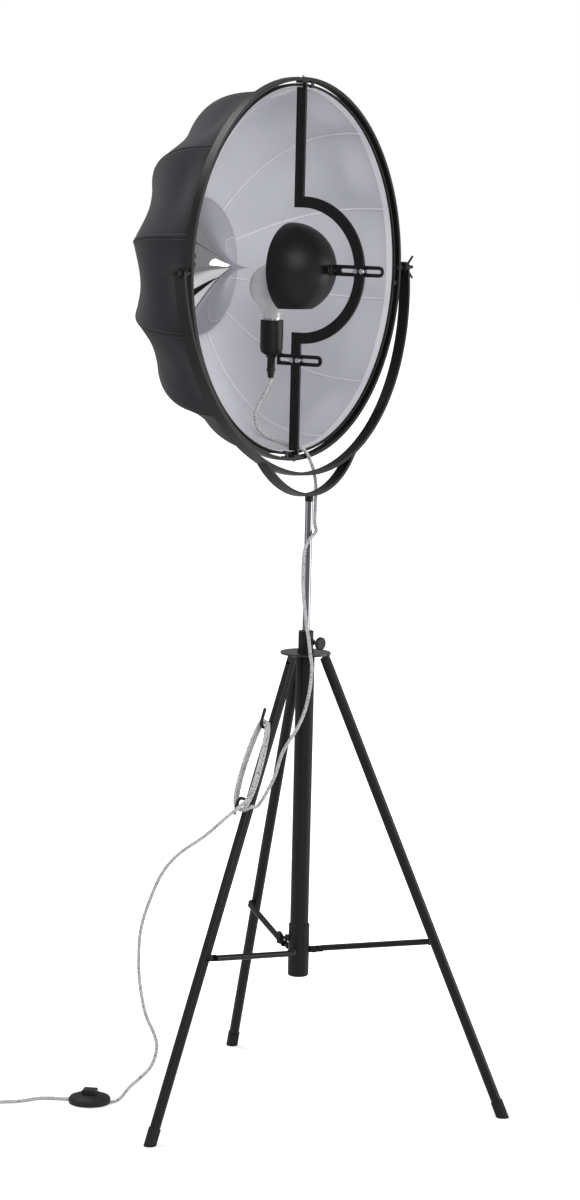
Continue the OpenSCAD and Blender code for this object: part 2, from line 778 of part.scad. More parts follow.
module support_bar() {
    color(black) in_head() difference() {
        union() {
            bar_end();
            mirror([0, 0, 1]) bar_end();
            translate([-bar_t / 2, -bar_w / 2, 0])
                rotate([90, 0, 90])
                    rotate([0, 0, 90])
                        rotate_extrude(angle = 180, $fn = 120)
                            translate([bow_in, 0])
                                square([bow_w, bar_t]);
        }
        for (at = arm_screws_at)
            translate(at) rod_x_at(-bar_t, small_screw_d + fit, 2 * bar_t);
    }
}

module screw_head() {
    cylinder(d1 = 1.9 * small_screw_d, d2 = small_screw_d, h = 2.6);
}

module frame_screws() {
    nut_x = -bar_t / 2 - 4;
    head_x = arm_x + arm_t + gap;
    color(steel) in_head() {
        for (side = [0, 1]) mirror([0, 0, side]) {
            translate([0, 0, foot_in + 0.2]) cylinder(d = small_screw_d, h = ring_r - foot_in + 0.5);
            translate([0, 0, ring_r]) screw_head();
        }
        for (at = arm_screws_at) translate(at) {
            rod_x_at(nut_x, small_screw_d, head_x + 0.5 - nut_x);
            translate([nut_x, 0, 0]) rotate([0, 90, 0])
                cylinder(d = 1.8 * small_screw_d, h = 4, $fn = 6);
            translate([head_x, 0, 0]) rotate([0, 90, 0]) screw_head();
        }
    }
}

// ---------- dish ----------

// The rib's curve in the plane through the dish's axis: [radius, depth] at an angle from
// the rim (0) to the pole (90)
function dish_point(a) =
    [rim_r * pow(cos(a), 0.91), dish_depth * pow(sin(a), 0.70)];
function dish_out(a) =
    let (t = unit(dish_point(a + 0.2) - dish_point(max(0, a - 0.2)))) [t[1], -t[0]];
dish_front_a = asin(pow((rim_wire_d / 2 + 0.4) / dish_depth, 1 / 0.70));
function back_a(r) = acos(pow(r / rim_r, 1 / 0.91));
function row_a(i, rows, back) = dish_front_a + (back - dish_front_a) * pow(i / rows, 2);

// A point of the cloth: offset from the ribs' curve, drawn in between two ribs
function cloth_point(a, turn, offset) =
    let (
        p = dish_point(a),
        across_gore = abs(sin(180 * (turn - rib_turn) * rib_count / 360)),
        fade = ease(p[1] / 70) * ease((p[0] - 115) / 90),
        q = p + (offset - draw_in * p[0] * across_gore * fade) * dish_out(a)
    )
    [q[0] * cos(turn), q[1], q[0] * sin(turn)];

// A cloth of the given offsets from the ribs, as one closed sheet with an open pole
module cloth(low, high) {
    rows = 11;
    columns = 4 * rib_count;
    back = back_a(boss_r + 2);
    points = [for (offset = [low, high], i = [0 : rows], k = [0 : columns - 1])
        cloth_point(row_a(i, rows, back), rib_turn + 360 * k / columns, offset)];
    side = (rows + 1) * columns;
    function at(s, i, k) = s * side + i * columns + k % columns;
    skin = [for (i = [0 : rows - 1], k = [0 : columns - 1])
        each [[at(1, i, k), at(1, i, k + 1), at(1, i + 1, k + 1)],
              [at(1, i, k), at(1, i + 1, k + 1), at(1, i + 1, k)],
              [at(0, i, k), at(0, i + 1, k + 1), at(0, i, k + 1)],
              [at(0, i, k), at(0, i + 1, k), at(0, i + 1, k + 1)]]];
    edges = [for (k = [0 : columns - 1])
        each [[at(0, 0, k), at(0, 0, k + 1), at(1, 0, k + 1)],
              [at(0, 0, k), at(1, 0, k + 1), at(1, 0, k)],
              [at(0, rows, k), at(1, rows, k + 1), at(0, rows, k + 1)],
              [at(0, rows, k), at(1, rows, k), at(1, rows, k + 1)]]];
    polyhedron(points, concat(skin, edges), convexity = 10);
}

module shade_cover() {
    color([0.07, 0.07, 0.08]) in_head() cloth(cloth_off, cloth_off + cloth_t);
}

module shade_lining() {
    color([0.93, 0.93, 0.94]) in_head() cloth(-cloth_off - cloth_t, -cloth_off);
}

module ribs() {
    rings = 11;
    back = back_a(boss_r + 0.05);
    color(steel) in_head()
        for (n = [0 : rib_count - 1]) {
            turn = rib_turn + 360 * n / rib_count;
            tube([for (i = [0 : rings])
                let (p = dish_point(row_a(i, rings, back)))
                [p[0] * cos(turn), p[1], p[0] * sin(turn)]], rib_d, 6, 0, rings);
        }
}

function cone_at(u) = cone_r * pow(1 - u, 1.7);

// The boss that gathers the ribs, with the mirror cone's backing plate and the end cap
module back_boss() {
    plate = cone_at(1.5 / cone_h) - cone_wall - fit;
    cap = dish_depth + cloth_off + cloth_t - 0.2;
    color(black) in_head() rotate([-90, 0, 0]) {
        translate([0, 0, cone_base_y - 1.5]) cylinder(r = plate, h = 1.5, $fn = 120);
        translate([0, 0, cone_base_y]) cylinder(d = 16, h = dish_depth - 6 - cone_base_y);
        translate([0, 0, dish_depth - 6]) cylinder(r = boss_r, h = 7, $fn = 72);
        translate([0, 0, dish_depth]) cylinder(d = 10, h = cap - dish_depth + 1);
        translate([0, 0, cap]) cylinder(r1 = boss_r + 10, r2 = boss_r + 8, h = 1.6, $fn = 72);
        translate([0, 0, cap + 1.6]) cylinder(d = 17, h = 5, $fn = 6);
        translate([0, 0, cap + 6.6]) cylinder(d1 = 14, d2 = 7, h = 4);
    }
}

// A spun mirror: a trumpet that draws out to a point
module mirror_cone() {
    steps = 14;
    outer = [for (k = [0 : steps]) [cone_at(k / steps), cone_h * k / steps]];
    inner = [for (k = [steps : -1 : 0])
        if (cone_at(k / steps) > 2 * cone_wall)
            [cone_at(k / steps) - cone_wall, cone_h * k / steps]];
    tip = [0, inner[0][1]];
    color([0.85, 0.86, 0.88]) in_head()
        translate([0, cone_base_y, 0])
            rotate([90, 0, 0])
                rotate_extrude($fn = 120)
                    polygon(concat(outer, [tip], inner));
}

// ---------- bulb, holder and bowl ----------

// A flat arm with a long slot, along Y, on the bar's right side
module slotted_plate(from, to, slot_mid) {
    difference() {
        union() {
            translate([arm_x, from + arm_w / 2, -arm_w / 2])
                cube([arm_t, to - from - arm_w / 2, arm_w]);
            translate([0, from + arm_w / 2, 0]) rod_x_at(arm_x, arm_w, arm_t);
        }
        for (side = [-1, 1])
            translate([0, slot_mid + side * (slot_len - slot_w) / 2, 0])
                rod_x_at(arm_x - 1, slot_w, arm_t + 2);
        translate([arm_x - 1, slot_mid - (slot_len - slot_w) / 2, -slot_w / 2])
            cube([arm_t + 2, slot_len - slot_w, slot_w]);
    }
}

module bulb_arm() {
    tab = arm_w + 1;
    tab_front = bulb_arm_end - 8;
    color(black) in_head() difference() {
        union() {
            translate([0, 0, arm_z])
                slotted_plate(bulb_arm_front, bulb_arm_end, bulb_arm_front + 46);
            translate([-tab / 2, tab_front, holder_bottom - arm_t])
                cube([tab, bulb_y + tab / 2 - tab_front, arm_t]);
        }
        translate([0, bulb_y, holder_bottom - arm_t - 1])
            cylinder(d = stem_d + fit, h = arm_t + 2);
    }
}

// The hollow threaded stem with its lock nut
module lamp_stem() {
    color(black) in_head() translate([0, bulb_y, 0]) difference() {
        union() {
            translate([0, 0, grip_top]) cylinder(d = stem_d, h = stem_len + 3);
            translate([0, 0, holder_bottom - arm_t - 4.8])
                cylinder(d = stem_d + 5, h = 4.7, $fn = 6);
        }
        translate([0, 0, grip_top - 1]) cylinder(d = cord_d + 1, h = stem_len + 6);
    }
}

module holder_shell() {
    color(black) in_head() translate([0, bulb_y, holder_bottom]) difference() {
        union() {
            cylinder(d1 = holder_d - 4, d2 = holder_d, h = 8);
            translate([0, 0, 8]) cylinder(d = holder_d, h = holder_h - 8);
        }
        translate([0, 0, 3]) cylinder(r = holder_in, h = holder_h);
        translate([0, 0, -1]) cylinder(d = stem_d + fit, h = 6);
    }
}

// The insulating insert with the socket that the bulb's cap sits in
module holder_insert() {
    color([0.9, 0.88, 0.84]) in_head() translate([0, bulb_y, holder_bottom + 3]) difference() {
        cylinder(r = holder_in - fit, h = holder_h - 7);
        translate([0, 0, holder_h - 7 - 24]) cylinder(r = cap_r + fit, h = 30);
    }
}

module cord_grip() {
    color(black) in_head() translate([0, bulb_y, grip_top - grip_h]) difference() {
        union() {
            cylinder(d1 = cord_d + 4, d2 = stem_d - 0.5, h = grip_h - 5);
            translate([0, 0, grip_h - 5]) cylinder(d = stem_d + 2, h = 5 - fit);
        }
        translate([0, 0, 2]) cylinder(d = cord_d + 0.5, h = grip_h);
    }
}

// Half the globe's outline, from its top to the foot of its neck
function globe(thin) = concat(
    [for (a = [90 : -8 : -54]) (bulb_r - thin) * [cos(a), sin(a)]],
    [[neck_r + 0.6 - thin, -bulb_r - 4], [neck_r - 0.4 - thin, -bulb_r - 13]]);

module bulb_glass() {
    inner = globe(1.2);
    color([1, 1, 0.98, 0.9]) in_head() translate([0, bulb_y, bulb_z])
        rotate_extrude($fn = 72)
            polygon(concat(globe(0), [for (k = [len(inner) - 1 : -1 : 0]) inner[k]]));
}

module bulb_cap() {
    top = bulb_z - bulb_r - 13;
    color(steel) in_head() translate([0, bulb_y, top]) {
        translate([0, 0, -2]) cylinder(r = neck_r - 0.4, h = 2);
        translate([0, 0, -24]) cylinder(r = cap_r, h = 22);
        translate([0, 0, -26.5]) cylinder(r1 = 4, r2 = cap_r - 2, h = 2.5);
    }
}

module bowl_arm() {
    color(black) in_head() translate([0, 0, bowl_z]) difference() {
        union() {
            slotted_plate(bowl_arm_end - arm_len, bowl_arm_end, bow_mid_y);
            translate([arm_x + arm_t - arm_w, bowl_arm_end - arm_t, -arm_w / 2])
                cube([arm_w, arm_t, arm_w]);
        }
        translate([0, bowl_arm_end - arm_t - 1, 0]) rod_y(bolt_d + fit, arm_t + 2);
    }
}

// A deep spherical bowl, open towards the dish and cut flat below for the bulb's neck
module bowl() {
    color(black) in_head() translate([0, bowl_y, bowl_z]) difference() {
        sphere(r = bowl_r, $fn = 120);
        sphere(r = bowl_r - bowl_wall, $fn = 120);
        translate([-bowl_r - 1, 0, -bowl_r - 1])
            cube([2 * bowl_r + 2, bowl_r + 2, 2 * bowl_r + 2]);
        translate([-bowl_r - 1, -bowl_r - 1, -bowl_r - 1])
            cube([2 * bowl_r + 2, bowl_r + 2, bowl_r + 1 - bowl_cut]);
        translate([0, -bowl_r - 1, 0]) rod_y(bolt_d + fit, bowl_wall + 3);
    }
}

// The stud that joins the bowl to its arm: it screws into the arm's tab
module bowl_stud() {
    front = bowl_y - bowl_r;
    tip = bowl_arm_end - arm_t;
    color(steel) in_head() translate([0, 0, bowl_z]) {
        translate([0, tip, 0]) rod_y(bolt_d, front + bowl_wall + 2 - tip);
        translate([0, bowl_arm_end, 0]) rod_y(1.7 * bolt_d, front - bowl_arm_end);
        translate([0, front + bowl_wall + 0.2, 0]) rod_y(1.8 * bolt_d, 2);
    }
}

// ---------- foot switch and plug ----------

module at_switch() { translate(switch_at) rotate([0, 0, switch_dir]) children(); }

module switch_base() {
    color(black) at_switch() {
        cylinder(d = switch_d - 8, h = 0.8);
        translate([0, 0, 0.8]) cylinder(r = switch_in - fit, h = 2.2);
    }
}

module switch_cover() {
    half = switch_d / 2;
    outer = [[half, 0.8], [half, 8], [half - 2, 10.5], [half - 9.5, 13.5], [half - 17, 16], [0, 16.5]];
    inner = [for (k = [len(outer) - 1 : -1 : 0])
        [max(0, outer[k][0] - switch_wall), k == 0 ? 0.8 : outer[k][1] - switch_wall]];
    color(black) at_switch() difference() {
        rotate_extrude($fn = 96) polygon(concat(outer, inner));
        translate([-button_w / 2 - gap, -button_w / 2 - gap, 8])
            cube([button_w + 2 * gap, button_w + 2 * gap, 12]);
        translate([-switch_d, 0, cord_d / 2]) rod_x(cord_d + 0.2, 2 * switch_d);
    }
}

module switch_button() {
    color([0.16, 0.16, 0.17]) at_switch() {
        translate([-button_w / 2, -button_w / 2, 7]) cube([button_w, button_w, 16]);
        translate([1 - button_w / 2, 1 - button_w / 2, 23]) cube([button_w - 2, button_w - 2, 1]);
    }
}

module at_plug() { translate(plug_at) rotate([0, 0, plug_dir]) children(); }

// A slim two-pin plug that lies on its flat side
module plug_body() {
    color(black) at_plug() rotate([0, 90, 0]) difference() {
        union() {
            cylinder(d1 = cord_d + 3, d2 = plug_h, h = 9);
            translate([0, 0, 8]) linear_extrude(height = plug_len - 8) {
                square([plug_h, plug_w - plug_h], center = true);
                for (side = [-1, 1]) translate([0, side * (plug_w - plug_h) / 2]) circle(d = plug_h);
            }
        }
        for (side = [-1, 1])
            translate([0, side * plug_pin_pitch / 2, plug_len - shoulder_len])
                cylinder(d = shoulder_d + fit, h = 2 * shoulder_len);
    }
}

module plug_pins() {
    color(steel) at_plug()
        for (side = [-1, 1])
            translate([0, side * plug_pin_pitch / 2, 0]) {
                rod_x_at(plug_len - shoulder_len, shoulder_d, shoulder_len);
                rod_x_at(plug_len - 1, plug_pin_d, plug_pin_len + 1);
            }
}

// ---------- the cord's stretches ----------

module cord(path, from, to) { color([0.62, 0.61, 0.62]) tube(path, cord_d, 8, from, to); }

module cord_lamp() { cord(hanging, 0, hanging_at(8)); }
module cord_tilt() { cord(hanging, hanging_at(8), hanging_at(15)); }
module cord_swivel() { cord(hanging, hanging_at(15), hanging_at(18)); }
module cord_mast() { cord(hanging, hanging_at(18), hanging_at(26)); }
module cord_leg() { cord(hanging, hanging_at(26), len(hanging) - 1); }
module cord_drop() { cord(falling, 0, falling_at(16)); }

module cord_floor() {
    cord(falling, falling_at(16), len(falling) - 1);
    cord(lying, 0, len(lying) - 1);
    cord(tail, 0, len(tail) - 1);
}

module cord_wound() { color([0.62, 0.61, 0.62]) tube(wound, cord_d, 6, 0, len(wound) - 1); }
module cord_coil() { color([0.62, 0.61, 0.62]) tube(coil, cord_d, 6, 0, len(coil) - 1); }

echo(wound_gap = least_gap(wound, cord_d, 12), coil_gap = least_gap(coil, cord_d, 12));

top_plate();
collar();
column_tube();
leg_hinge_pins();
collar_knob();
hub();
brace_pins();
hub_knob();
brace(leg_dirs[0]);  // brace_left
brace(leg_dirs[1]);  // brace_rear
brace(leg_dirs[2]);  // brace_right
leg(leg_dirs[0], true);  // leg_left
leg(leg_dirs[1]);  // leg_rear
leg(leg_dirs[2]);  // leg_right
foot(leg_dirs[0]);  // foot_left
foot(leg_dirs[1]);  // foot_rear
foot(leg_dirs[2]);  // foot_right
cord_hooks();
mast();
swivel_block();
yoke_bracket();
yoke();
wing_nut_right();
wing_nut_left();
ring();
rim_wire();
rim_clips();
ribs();
back_boss();
mirror_cone();
shade_cover();
shade_lining();
support_bar();
frame_screws();
pivot_bolts();
pivot_spacers();
bulb_arm();
lamp_stem();
holder_shell();
holder_insert();
cord_grip();
bulb_glass();
bulb_cap();
bowl_arm();
bowl();
bowl_stud();
switch_base();
switch_cover();
switch_button();
plug_body();
plug_pins();
cord_lamp();
cord_tilt();
cord_swivel();
cord_mast();
cord_leg();
cord_wound();
cord_drop();
cord_floor();
cord_coil();
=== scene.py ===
# %% [markdown]
# # Tripod spotlight floor lamp: its looks
# The construction comes in as a fixed frame of named pieces, in metres, with the floor at
# z = 0 and the dish opening towards -Y. This script dresses it: it lays the cord, sews the two
# cloths, spins the mirror and gives every surface a finish. Nothing in the frame is moved or
# resized, because the joints depend on where its pieces are.

import json
import math

import bpy
from mathutils import Matrix, Vector


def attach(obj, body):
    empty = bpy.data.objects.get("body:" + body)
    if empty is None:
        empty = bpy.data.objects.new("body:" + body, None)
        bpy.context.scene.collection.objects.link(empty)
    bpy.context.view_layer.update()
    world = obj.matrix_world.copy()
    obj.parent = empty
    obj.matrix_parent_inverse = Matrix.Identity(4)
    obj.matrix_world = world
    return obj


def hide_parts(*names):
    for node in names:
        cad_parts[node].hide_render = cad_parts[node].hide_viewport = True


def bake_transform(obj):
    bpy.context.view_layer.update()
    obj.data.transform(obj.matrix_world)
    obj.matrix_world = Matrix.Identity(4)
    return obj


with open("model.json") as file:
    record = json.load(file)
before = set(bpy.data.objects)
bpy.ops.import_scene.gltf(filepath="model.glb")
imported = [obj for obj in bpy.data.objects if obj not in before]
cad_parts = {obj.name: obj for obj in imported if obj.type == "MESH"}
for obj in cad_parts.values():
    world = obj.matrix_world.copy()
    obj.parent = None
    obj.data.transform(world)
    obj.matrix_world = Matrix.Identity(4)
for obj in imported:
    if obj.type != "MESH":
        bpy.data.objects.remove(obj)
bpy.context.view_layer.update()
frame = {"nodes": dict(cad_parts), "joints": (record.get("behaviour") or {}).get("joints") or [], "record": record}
joints = {joint["name"]: joint for joint in frame["joints"]}
MM = 0.001

# %% [markdown]
# ## The camera
# A lamp this tall is photographed from far off with a long lens, so that its legs and its dish
# keep their proportions. The camera could be placed by eye, but the three feet, the ring and
# the mast fix it closely: their places in the picture give the turn, the distance, the height
# and the small roll below. The picture is 580 by 1200, and its centre was trimmed off to one
# side, which is what a small lens shift stands for. A focal length belongs to the picture's
# longer side, which is its height here.

# %% Camera
PICTURE_HEIGHT = 1200
FOCAL_PIXELS = 3184.78
TRIM_PIXELS = -16.82
EYE_TURN = -0.9962
EYE_DISTANCE = 5.4333
EYE_HEIGHT = 1.6339
EYE_PITCH = -0.1362
EYE_ROLL = 0.0236

camera_data = bpy.data.cameras.new("camera")
camera_data.sensor_width = 36.0
camera_data.lens = FOCAL_PIXELS * camera_data.sensor_width / PICTURE_HEIGHT
camera_data.shift_x = TRIM_PIXELS / PICTURE_HEIGHT
camera = bpy.data.objects.new("camera", camera_data)
bpy.context.scene.collection.objects.link(camera)
bpy.context.scene.camera = camera

level = Vector((-math.sin(EYE_TURN), math.cos(EYE_TURN), 0))
right = Vector((math.cos(EYE_TURN), math.sin(EYE_TURN), 0))
looking = level * math.cos(EYE_PITCH) + Vector((0, 0, math.sin(EYE_PITCH)))
up = right.cross(looking)
rolled_right = right * math.cos(EYE_ROLL) + up * math.sin(EYE_ROLL)
rolled_up = up * math.cos(EYE_ROLL) - right * math.sin(EYE_ROLL)
turn = Matrix((rolled_right, rolled_up, -looking)).transposed().to_4x4()
eye = -level * EYE_DISTANCE + Vector((0, 0, EYE_HEIGHT))
camera.matrix_world = Matrix.Translation(eye) @ turn
print("camera at", [round(x, 3) for x in camera.matrix_world.translation])

# %% [markdown]
# ## The cord's route
# One braided cord, 6 mm thick and limp, runs from the holder to the plug. It could be simulated,
# but a cord that is wound round hooks and coiled on the floor settles where hands have put it,
# so its points are chosen one by one and a smooth curve goes through them. It leaves the grip
# straight down, rests in the dish's bottom, slips out past the ring, runs down the mast and
# past the clamp collar, and falls to the hooks on the left leg.

# %% Smooth curves
PATH_STEP = 0.006


def spline(a, b, c, d, u):
    """The point at u between b and c on a curve that also minds a and d."""
    return 0.5 * (2 * b + (c - a) * u + (2 * a - 5 * b + 4 * c - d) * u**2
                  + (3 * b - a - 3 * c + d) * u**3)


def smooth(chosen):
    """A smooth path through the chosen points, with a point about every step."""
    ends = [2 * chosen[0] - chosen[1], *chosen, 2 * chosen[-1] - chosen[-2]]
    path = []
    for a, b, c, d in zip(ends, ends[1:], ends[2:], ends[3:]):
        count = max(1, round((c - b).length / PATH_STEP))
        path += [spline(a, b, c, d, k / count) for k in range(count)]
    return [*path, chosen[-1]]


def length_of(path):
    return sum((b - a).length for a, b in zip(path, path[1:]))


def ease(u):
    """Goes from 0 to 1 with a soft start and a soft end."""
    u = min(1, max(0, u))
    return u * u * (3 - 2 * u)


def about_z(x, y, z, angle):
    """A point turned about the vertical, in millimetres and degrees."""
    c, s = math.cos(math.radians(angle)), math.sin(math.radians(angle))
    return Vector((x * c - y * s, x * s + y * c, z))


# %% [markdown]
# The spare length above the floor is wound round the two hooks of the left leg. The loop is
# long, with straighter sides than an ellipse and a narrower upper half, and each turn lies just
# over a cord's width further out than the one before.

# %% The winding
CORD = 6.0
LEG_TURN = 172
FOOT_RADIUS, HINGE_RADIUS, HINGE_HEIGHT = 368, 36, 786
leg_lean = math.atan2(FOOT_RADIUS - HINGE_RADIUS, HINGE_HEIGHT)


def on_leg(x, side, along):
    """A point of the leg's own frame: outwards, sideways and along the tube from its hinge."""
    out = HINGE_RADIUS + x * math.cos(leg_lean) - along * math.sin(leg_lean)
    height = HINGE_HEIGHT + x * math.sin(leg_lean) + along * math.cos(leg_lean)
    return about_z(out, side, height, LEG_TURN)


HOOKS_MIDDLE = (12.2, -3, -192.5)
WOUND_RISE = 6.45
WOUND_HALF_WIDTH, WOUND_HALF_LENGTH = 19, 78.5
WOUND_FULLNESS, WOUND_TAPER = 0.7, 0.2
WOUND_FROM, WOUND_TO = -75, -760
WOUND_POINTS = 92


def wound_point(degrees):
    c, s = math.cos(math.radians(degrees)), math.sin(math.radians(degrees))
    width = WOUND_HALF_WIDTH * math.copysign(abs(c) ** WOUND_FULLNESS, c) * (1 - WOUND_TAPER * s)
    x, side, along = HOOKS_MIDDLE
    rise = WOUND_RISE * (WOUND_FROM - degrees) / 360
    return on_leg(x + rise, side + width, along + WOUND_HALF_LENGTH * s)


turns = [wound_point(WOUND_FROM + (WOUND_TO - WOUND_FROM) * k / WOUND_POINTS)
         for k in range(WOUND_POINTS + 1)]
wound_in = (turns[1] - turns[0]).normalized()
wound_out = (turns[-1] - turns[-2]).normalized()
wound = [turns[0] - CORD * wound_in, *turns, turns[-1] + CORD * wound_out]
print("winding:", round(length_of(wound)), "mm round the hooks")

# %% [markdown]
# The length that the picture doesn't show is put away in a coil on the floor, out of view: four
# turns inwards, a step up onto them over a quarter of a turn, and three wider turns back out.

# %% The coil on the floor
COIL_MIDDLE = (-334, 464, CORD / 2)
COIL_RADIUS, COIL_PITCH, COIL_BACK = 46.2, 6.6, 8.5
COIL_START, COIL_TURNS, COIL_END = 227.6, 4, 7.27
COIL_CLIMB = 0.25
COIL_RAMP = COIL_TURNS + COIL_CLIMB
COIL_POINTS = 240


def coil_point(s):
    """The spiral after s turns: inwards on the floor, up a quarter turn, and wider on top."""
    radius = COIL_RADIUS - COIL_PITCH * min(s, COIL_RAMP) + COIL_BACK * max(0, s - COIL_RAMP)
    angle = math.radians(COIL_START - 360 * s)
    x, y, z = COIL_MIDDLE
    climb = COIL_PITCH * ease((s - COIL_TURNS) / COIL_CLIMB)
    return Vector((x + radius * math.cos(angle), y + radius * math.sin(angle), z + climb))


loops = [coil_point(COIL_END * k / COIL_POINTS) for k in range(COIL_POINTS + 1)]
coil_in = (loops[1] - loops[0]).normalized()
coil_out = (loops[-1] - loops[-2]).normalized()
coil = [loops[0] - CORD * coil_in, *loops, loops[-1] + CORD * coil_out]
print("coil:", round(length_of(coil)), "mm in", COIL_END, "turns")

# %% [markdown]
# The rest is laid point by point along the frame's own cord. Only the bend above the
# lower hook is softened, and the last fall to the foot switch takes a wider sweep than the
# frame's, which turns more tightly near the floor than a real cord would.

# %% The listed stretches, in millimetres
GRIP = Vector((0, 84.64, 1267.53))
SWITCH, SWITCH_TURN, SWITCH_EDGE = Vector((-228, 280, 3)), 114, 34.6
SWITCH_LEAD_IN, SWITCH_LEAD_OUT = 46, 44
along_switch = about_z(1, 0, 0, SWITCH_TURN)


def points(*triples):
    return [Vector(p) for p in triples]


to_dish_edge = [GRIP, GRIP - Vector((0, 0, 7)), *points(
    (-4, 93, 1241), (-8, 104, 1220), (-8, 110, 1200), (-4, 106, 1179), (2, 89, 1165),
    (7, 65, 1158), (10, 48, 1153))]
past_the_yoke = points((10, 32, 1151), (14, 26, 1147), (22, 23, 1142), (34, 22, 1127),
                       (42, 21, 1113), (48, 20, 1095), (50, 19, 1075))
to_the_mast = points((48, 18, 1057), (40, 13, 1040), (26, 4, 1020))
down_the_mast = points((6, -11.5, 1008), (-12, -9, 995), (-16, -3, 974), (-17, -2, 943),
                       (-17, -3, 909), (-20, -12, 858), (-31, -26, 826), (-39, -35, 802))
to_the_hooks = [*points(
    (-39, -39, 776), (-39, -32, 723), (-43, -18, 679), (-61, 2, 632), (-76, 7, 593),
    (-95, 9.5, 568), (-108, 10.5, 555), (-121, 9, 548)), on_leg(-2, 14, -259),
    on_leg(7.5, 11.8, -261), wound[0] - 4 * wound_in, wound[0]]
to_the_floor = [wound[-1], wound[-1] + 4 * wound_out, on_leg(35, 7, -272), *points(
    (-193, 28, 534), (-204, 63, 500), (-213, 107, 466), (-216, 140, 429), (-215, 167, 376),
    (-207, 191, 318), (-188, 208, 258), (-176, 213, 211), (-171, 204, 160), (-162, 191, 123),
    (-159, 187, 98), (-165, 194, 66), (-178, 210, 43))]
to_the_switch = [*points((-189, 219, 32), (-199, 225, 20), (-205, 231, 10)),
                 SWITCH - SWITCH_LEAD_IN * along_switch + Vector((0, 0, 2)),
                 SWITCH - SWITCH_EDGE * along_switch]
to_the_coil = [SWITCH + SWITCH_EDGE * along_switch, SWITCH + SWITCH_LEAD_OUT * along_switch,
               *points((-268, 356, 3), (-304, 374, 3), (-330, 398, 3)),
               coil[0] - 8 * coil_in, coil[0]]

# %% The tail to the plug
TAIL_TURN = math.degrees(math.atan2(coil_out.y, coil_out.x))
PLUG_TURN = TAIL_TURN + 12
PLUG_AHEAD, PLUG_ASIDE, PLUG_HALF = 88, 9, 6.85
PLUG = coil[-1] + about_z(PLUG_AHEAD, PLUG_ASIDE, PLUG_HALF - coil[-1].z, TAIL_TURN)
to_the_plug = [coil[-1], coil[-1] + 8 * coil_out,
               coil[-1] + about_z(26, 1, -4, TAIL_TURN),
               coil[-1] + about_z(46, 3, -6.6, TAIL_TURN),
               PLUG - about_z(20, 0, 2, PLUG_TURN), PLUG - about_z(6, 0, 0, PLUG_TURN), PLUG]
print("plug at", [round(x) for x in PLUG], "mm")

# %% [markdown]
# One smooth curve goes through all the hanging points, and is then cut where the lamp's joints
# are, so that neighbouring stretches share an end and run on in the same direction. Between two
# points on the floor such a curve may dip a little, so none of it goes under the floor.

# %% Cut the route into stretches, in metres
def stretches(*parts):
    """Runs one smooth curve through several lists of points and cuts it at their joins."""
    chosen = [p * MM for part in parts for p in part]
    lowest = CORD * MM / 2
    curve = [Vector((p.x, p.y, max(p.z, lowest))) for p in smooth(chosen)]
    joins, at = [0], -1
    for part in parts[:-1]:
        at += len(part)
        joins.append(min(range(len(curve)), key=lambda i: (curve[i] - chosen[at]).length))
    joins.append(len(curve) - 1)
    return [curve[a:b + 1] for a, b in zip(joins, joins[1:])]


lamp_path, tilt_path, swivel_path, mast_path, leg_path = stretches(
    to_dish_edge, past_the_yoke, to_the_mast, down_the_mast, to_the_hooks)
drop_path, switch_path = stretches(to_the_floor, to_the_switch)
wound_path = [p * MM for p in wound]
coil_path = [*smooth([p * MM for p in to_the_coil])[:-1], *[p * MM for p in coil],
             *smooth([p * MM for p in to_the_plug])[1:]]
print("points on the coil's stretch:", len(coil_path))

# %% [markdown]
# ## A tube along a path
# A curve object with a round bevel would do for a plain cord, but this one is braided, and a
# braid needs a map that runs once round the cord and evenly along it. So each stretch is a mesh:
# a ring of points at every step of the path, kept from twisting by carrying the last ring's
# direction on, with the map laid in squares of the cord's own girth.

# %% Tubes
TUBE_SIDES = 14


def new_mesh(name, vertices, faces, uvs=None):
    """A mesh object at the origin. uvs holds one pair for each corner of each face."""
    mesh = bpy.data.meshes.new(name)
    mesh.from_pydata([tuple(v) for v in vertices], [], faces)
    mesh.polygons.foreach_set("use_smooth", [True] * len(mesh.polygons))
    if uvs:
        layer = mesh.uv_layers.new(name="UVMap")
        layer.data.foreach_set("uv", [x for uv in uvs for x in uv])
    mesh.update()
    made = bpy.data.objects.new(name, mesh)
    bpy.context.scene.collection.objects.link(made)
    return made


def carried(directions):
    """A sideways direction for each step that turns no more than the path does."""
    first = Vector((0, 0, 1)) if abs(directions[0].z) < 0.9 else Vector((0, 1, 0))
    found = []
    for direction in directions:
        first = (first - first.dot(direction) * direction).normalized()
        found.append(first)
    return found


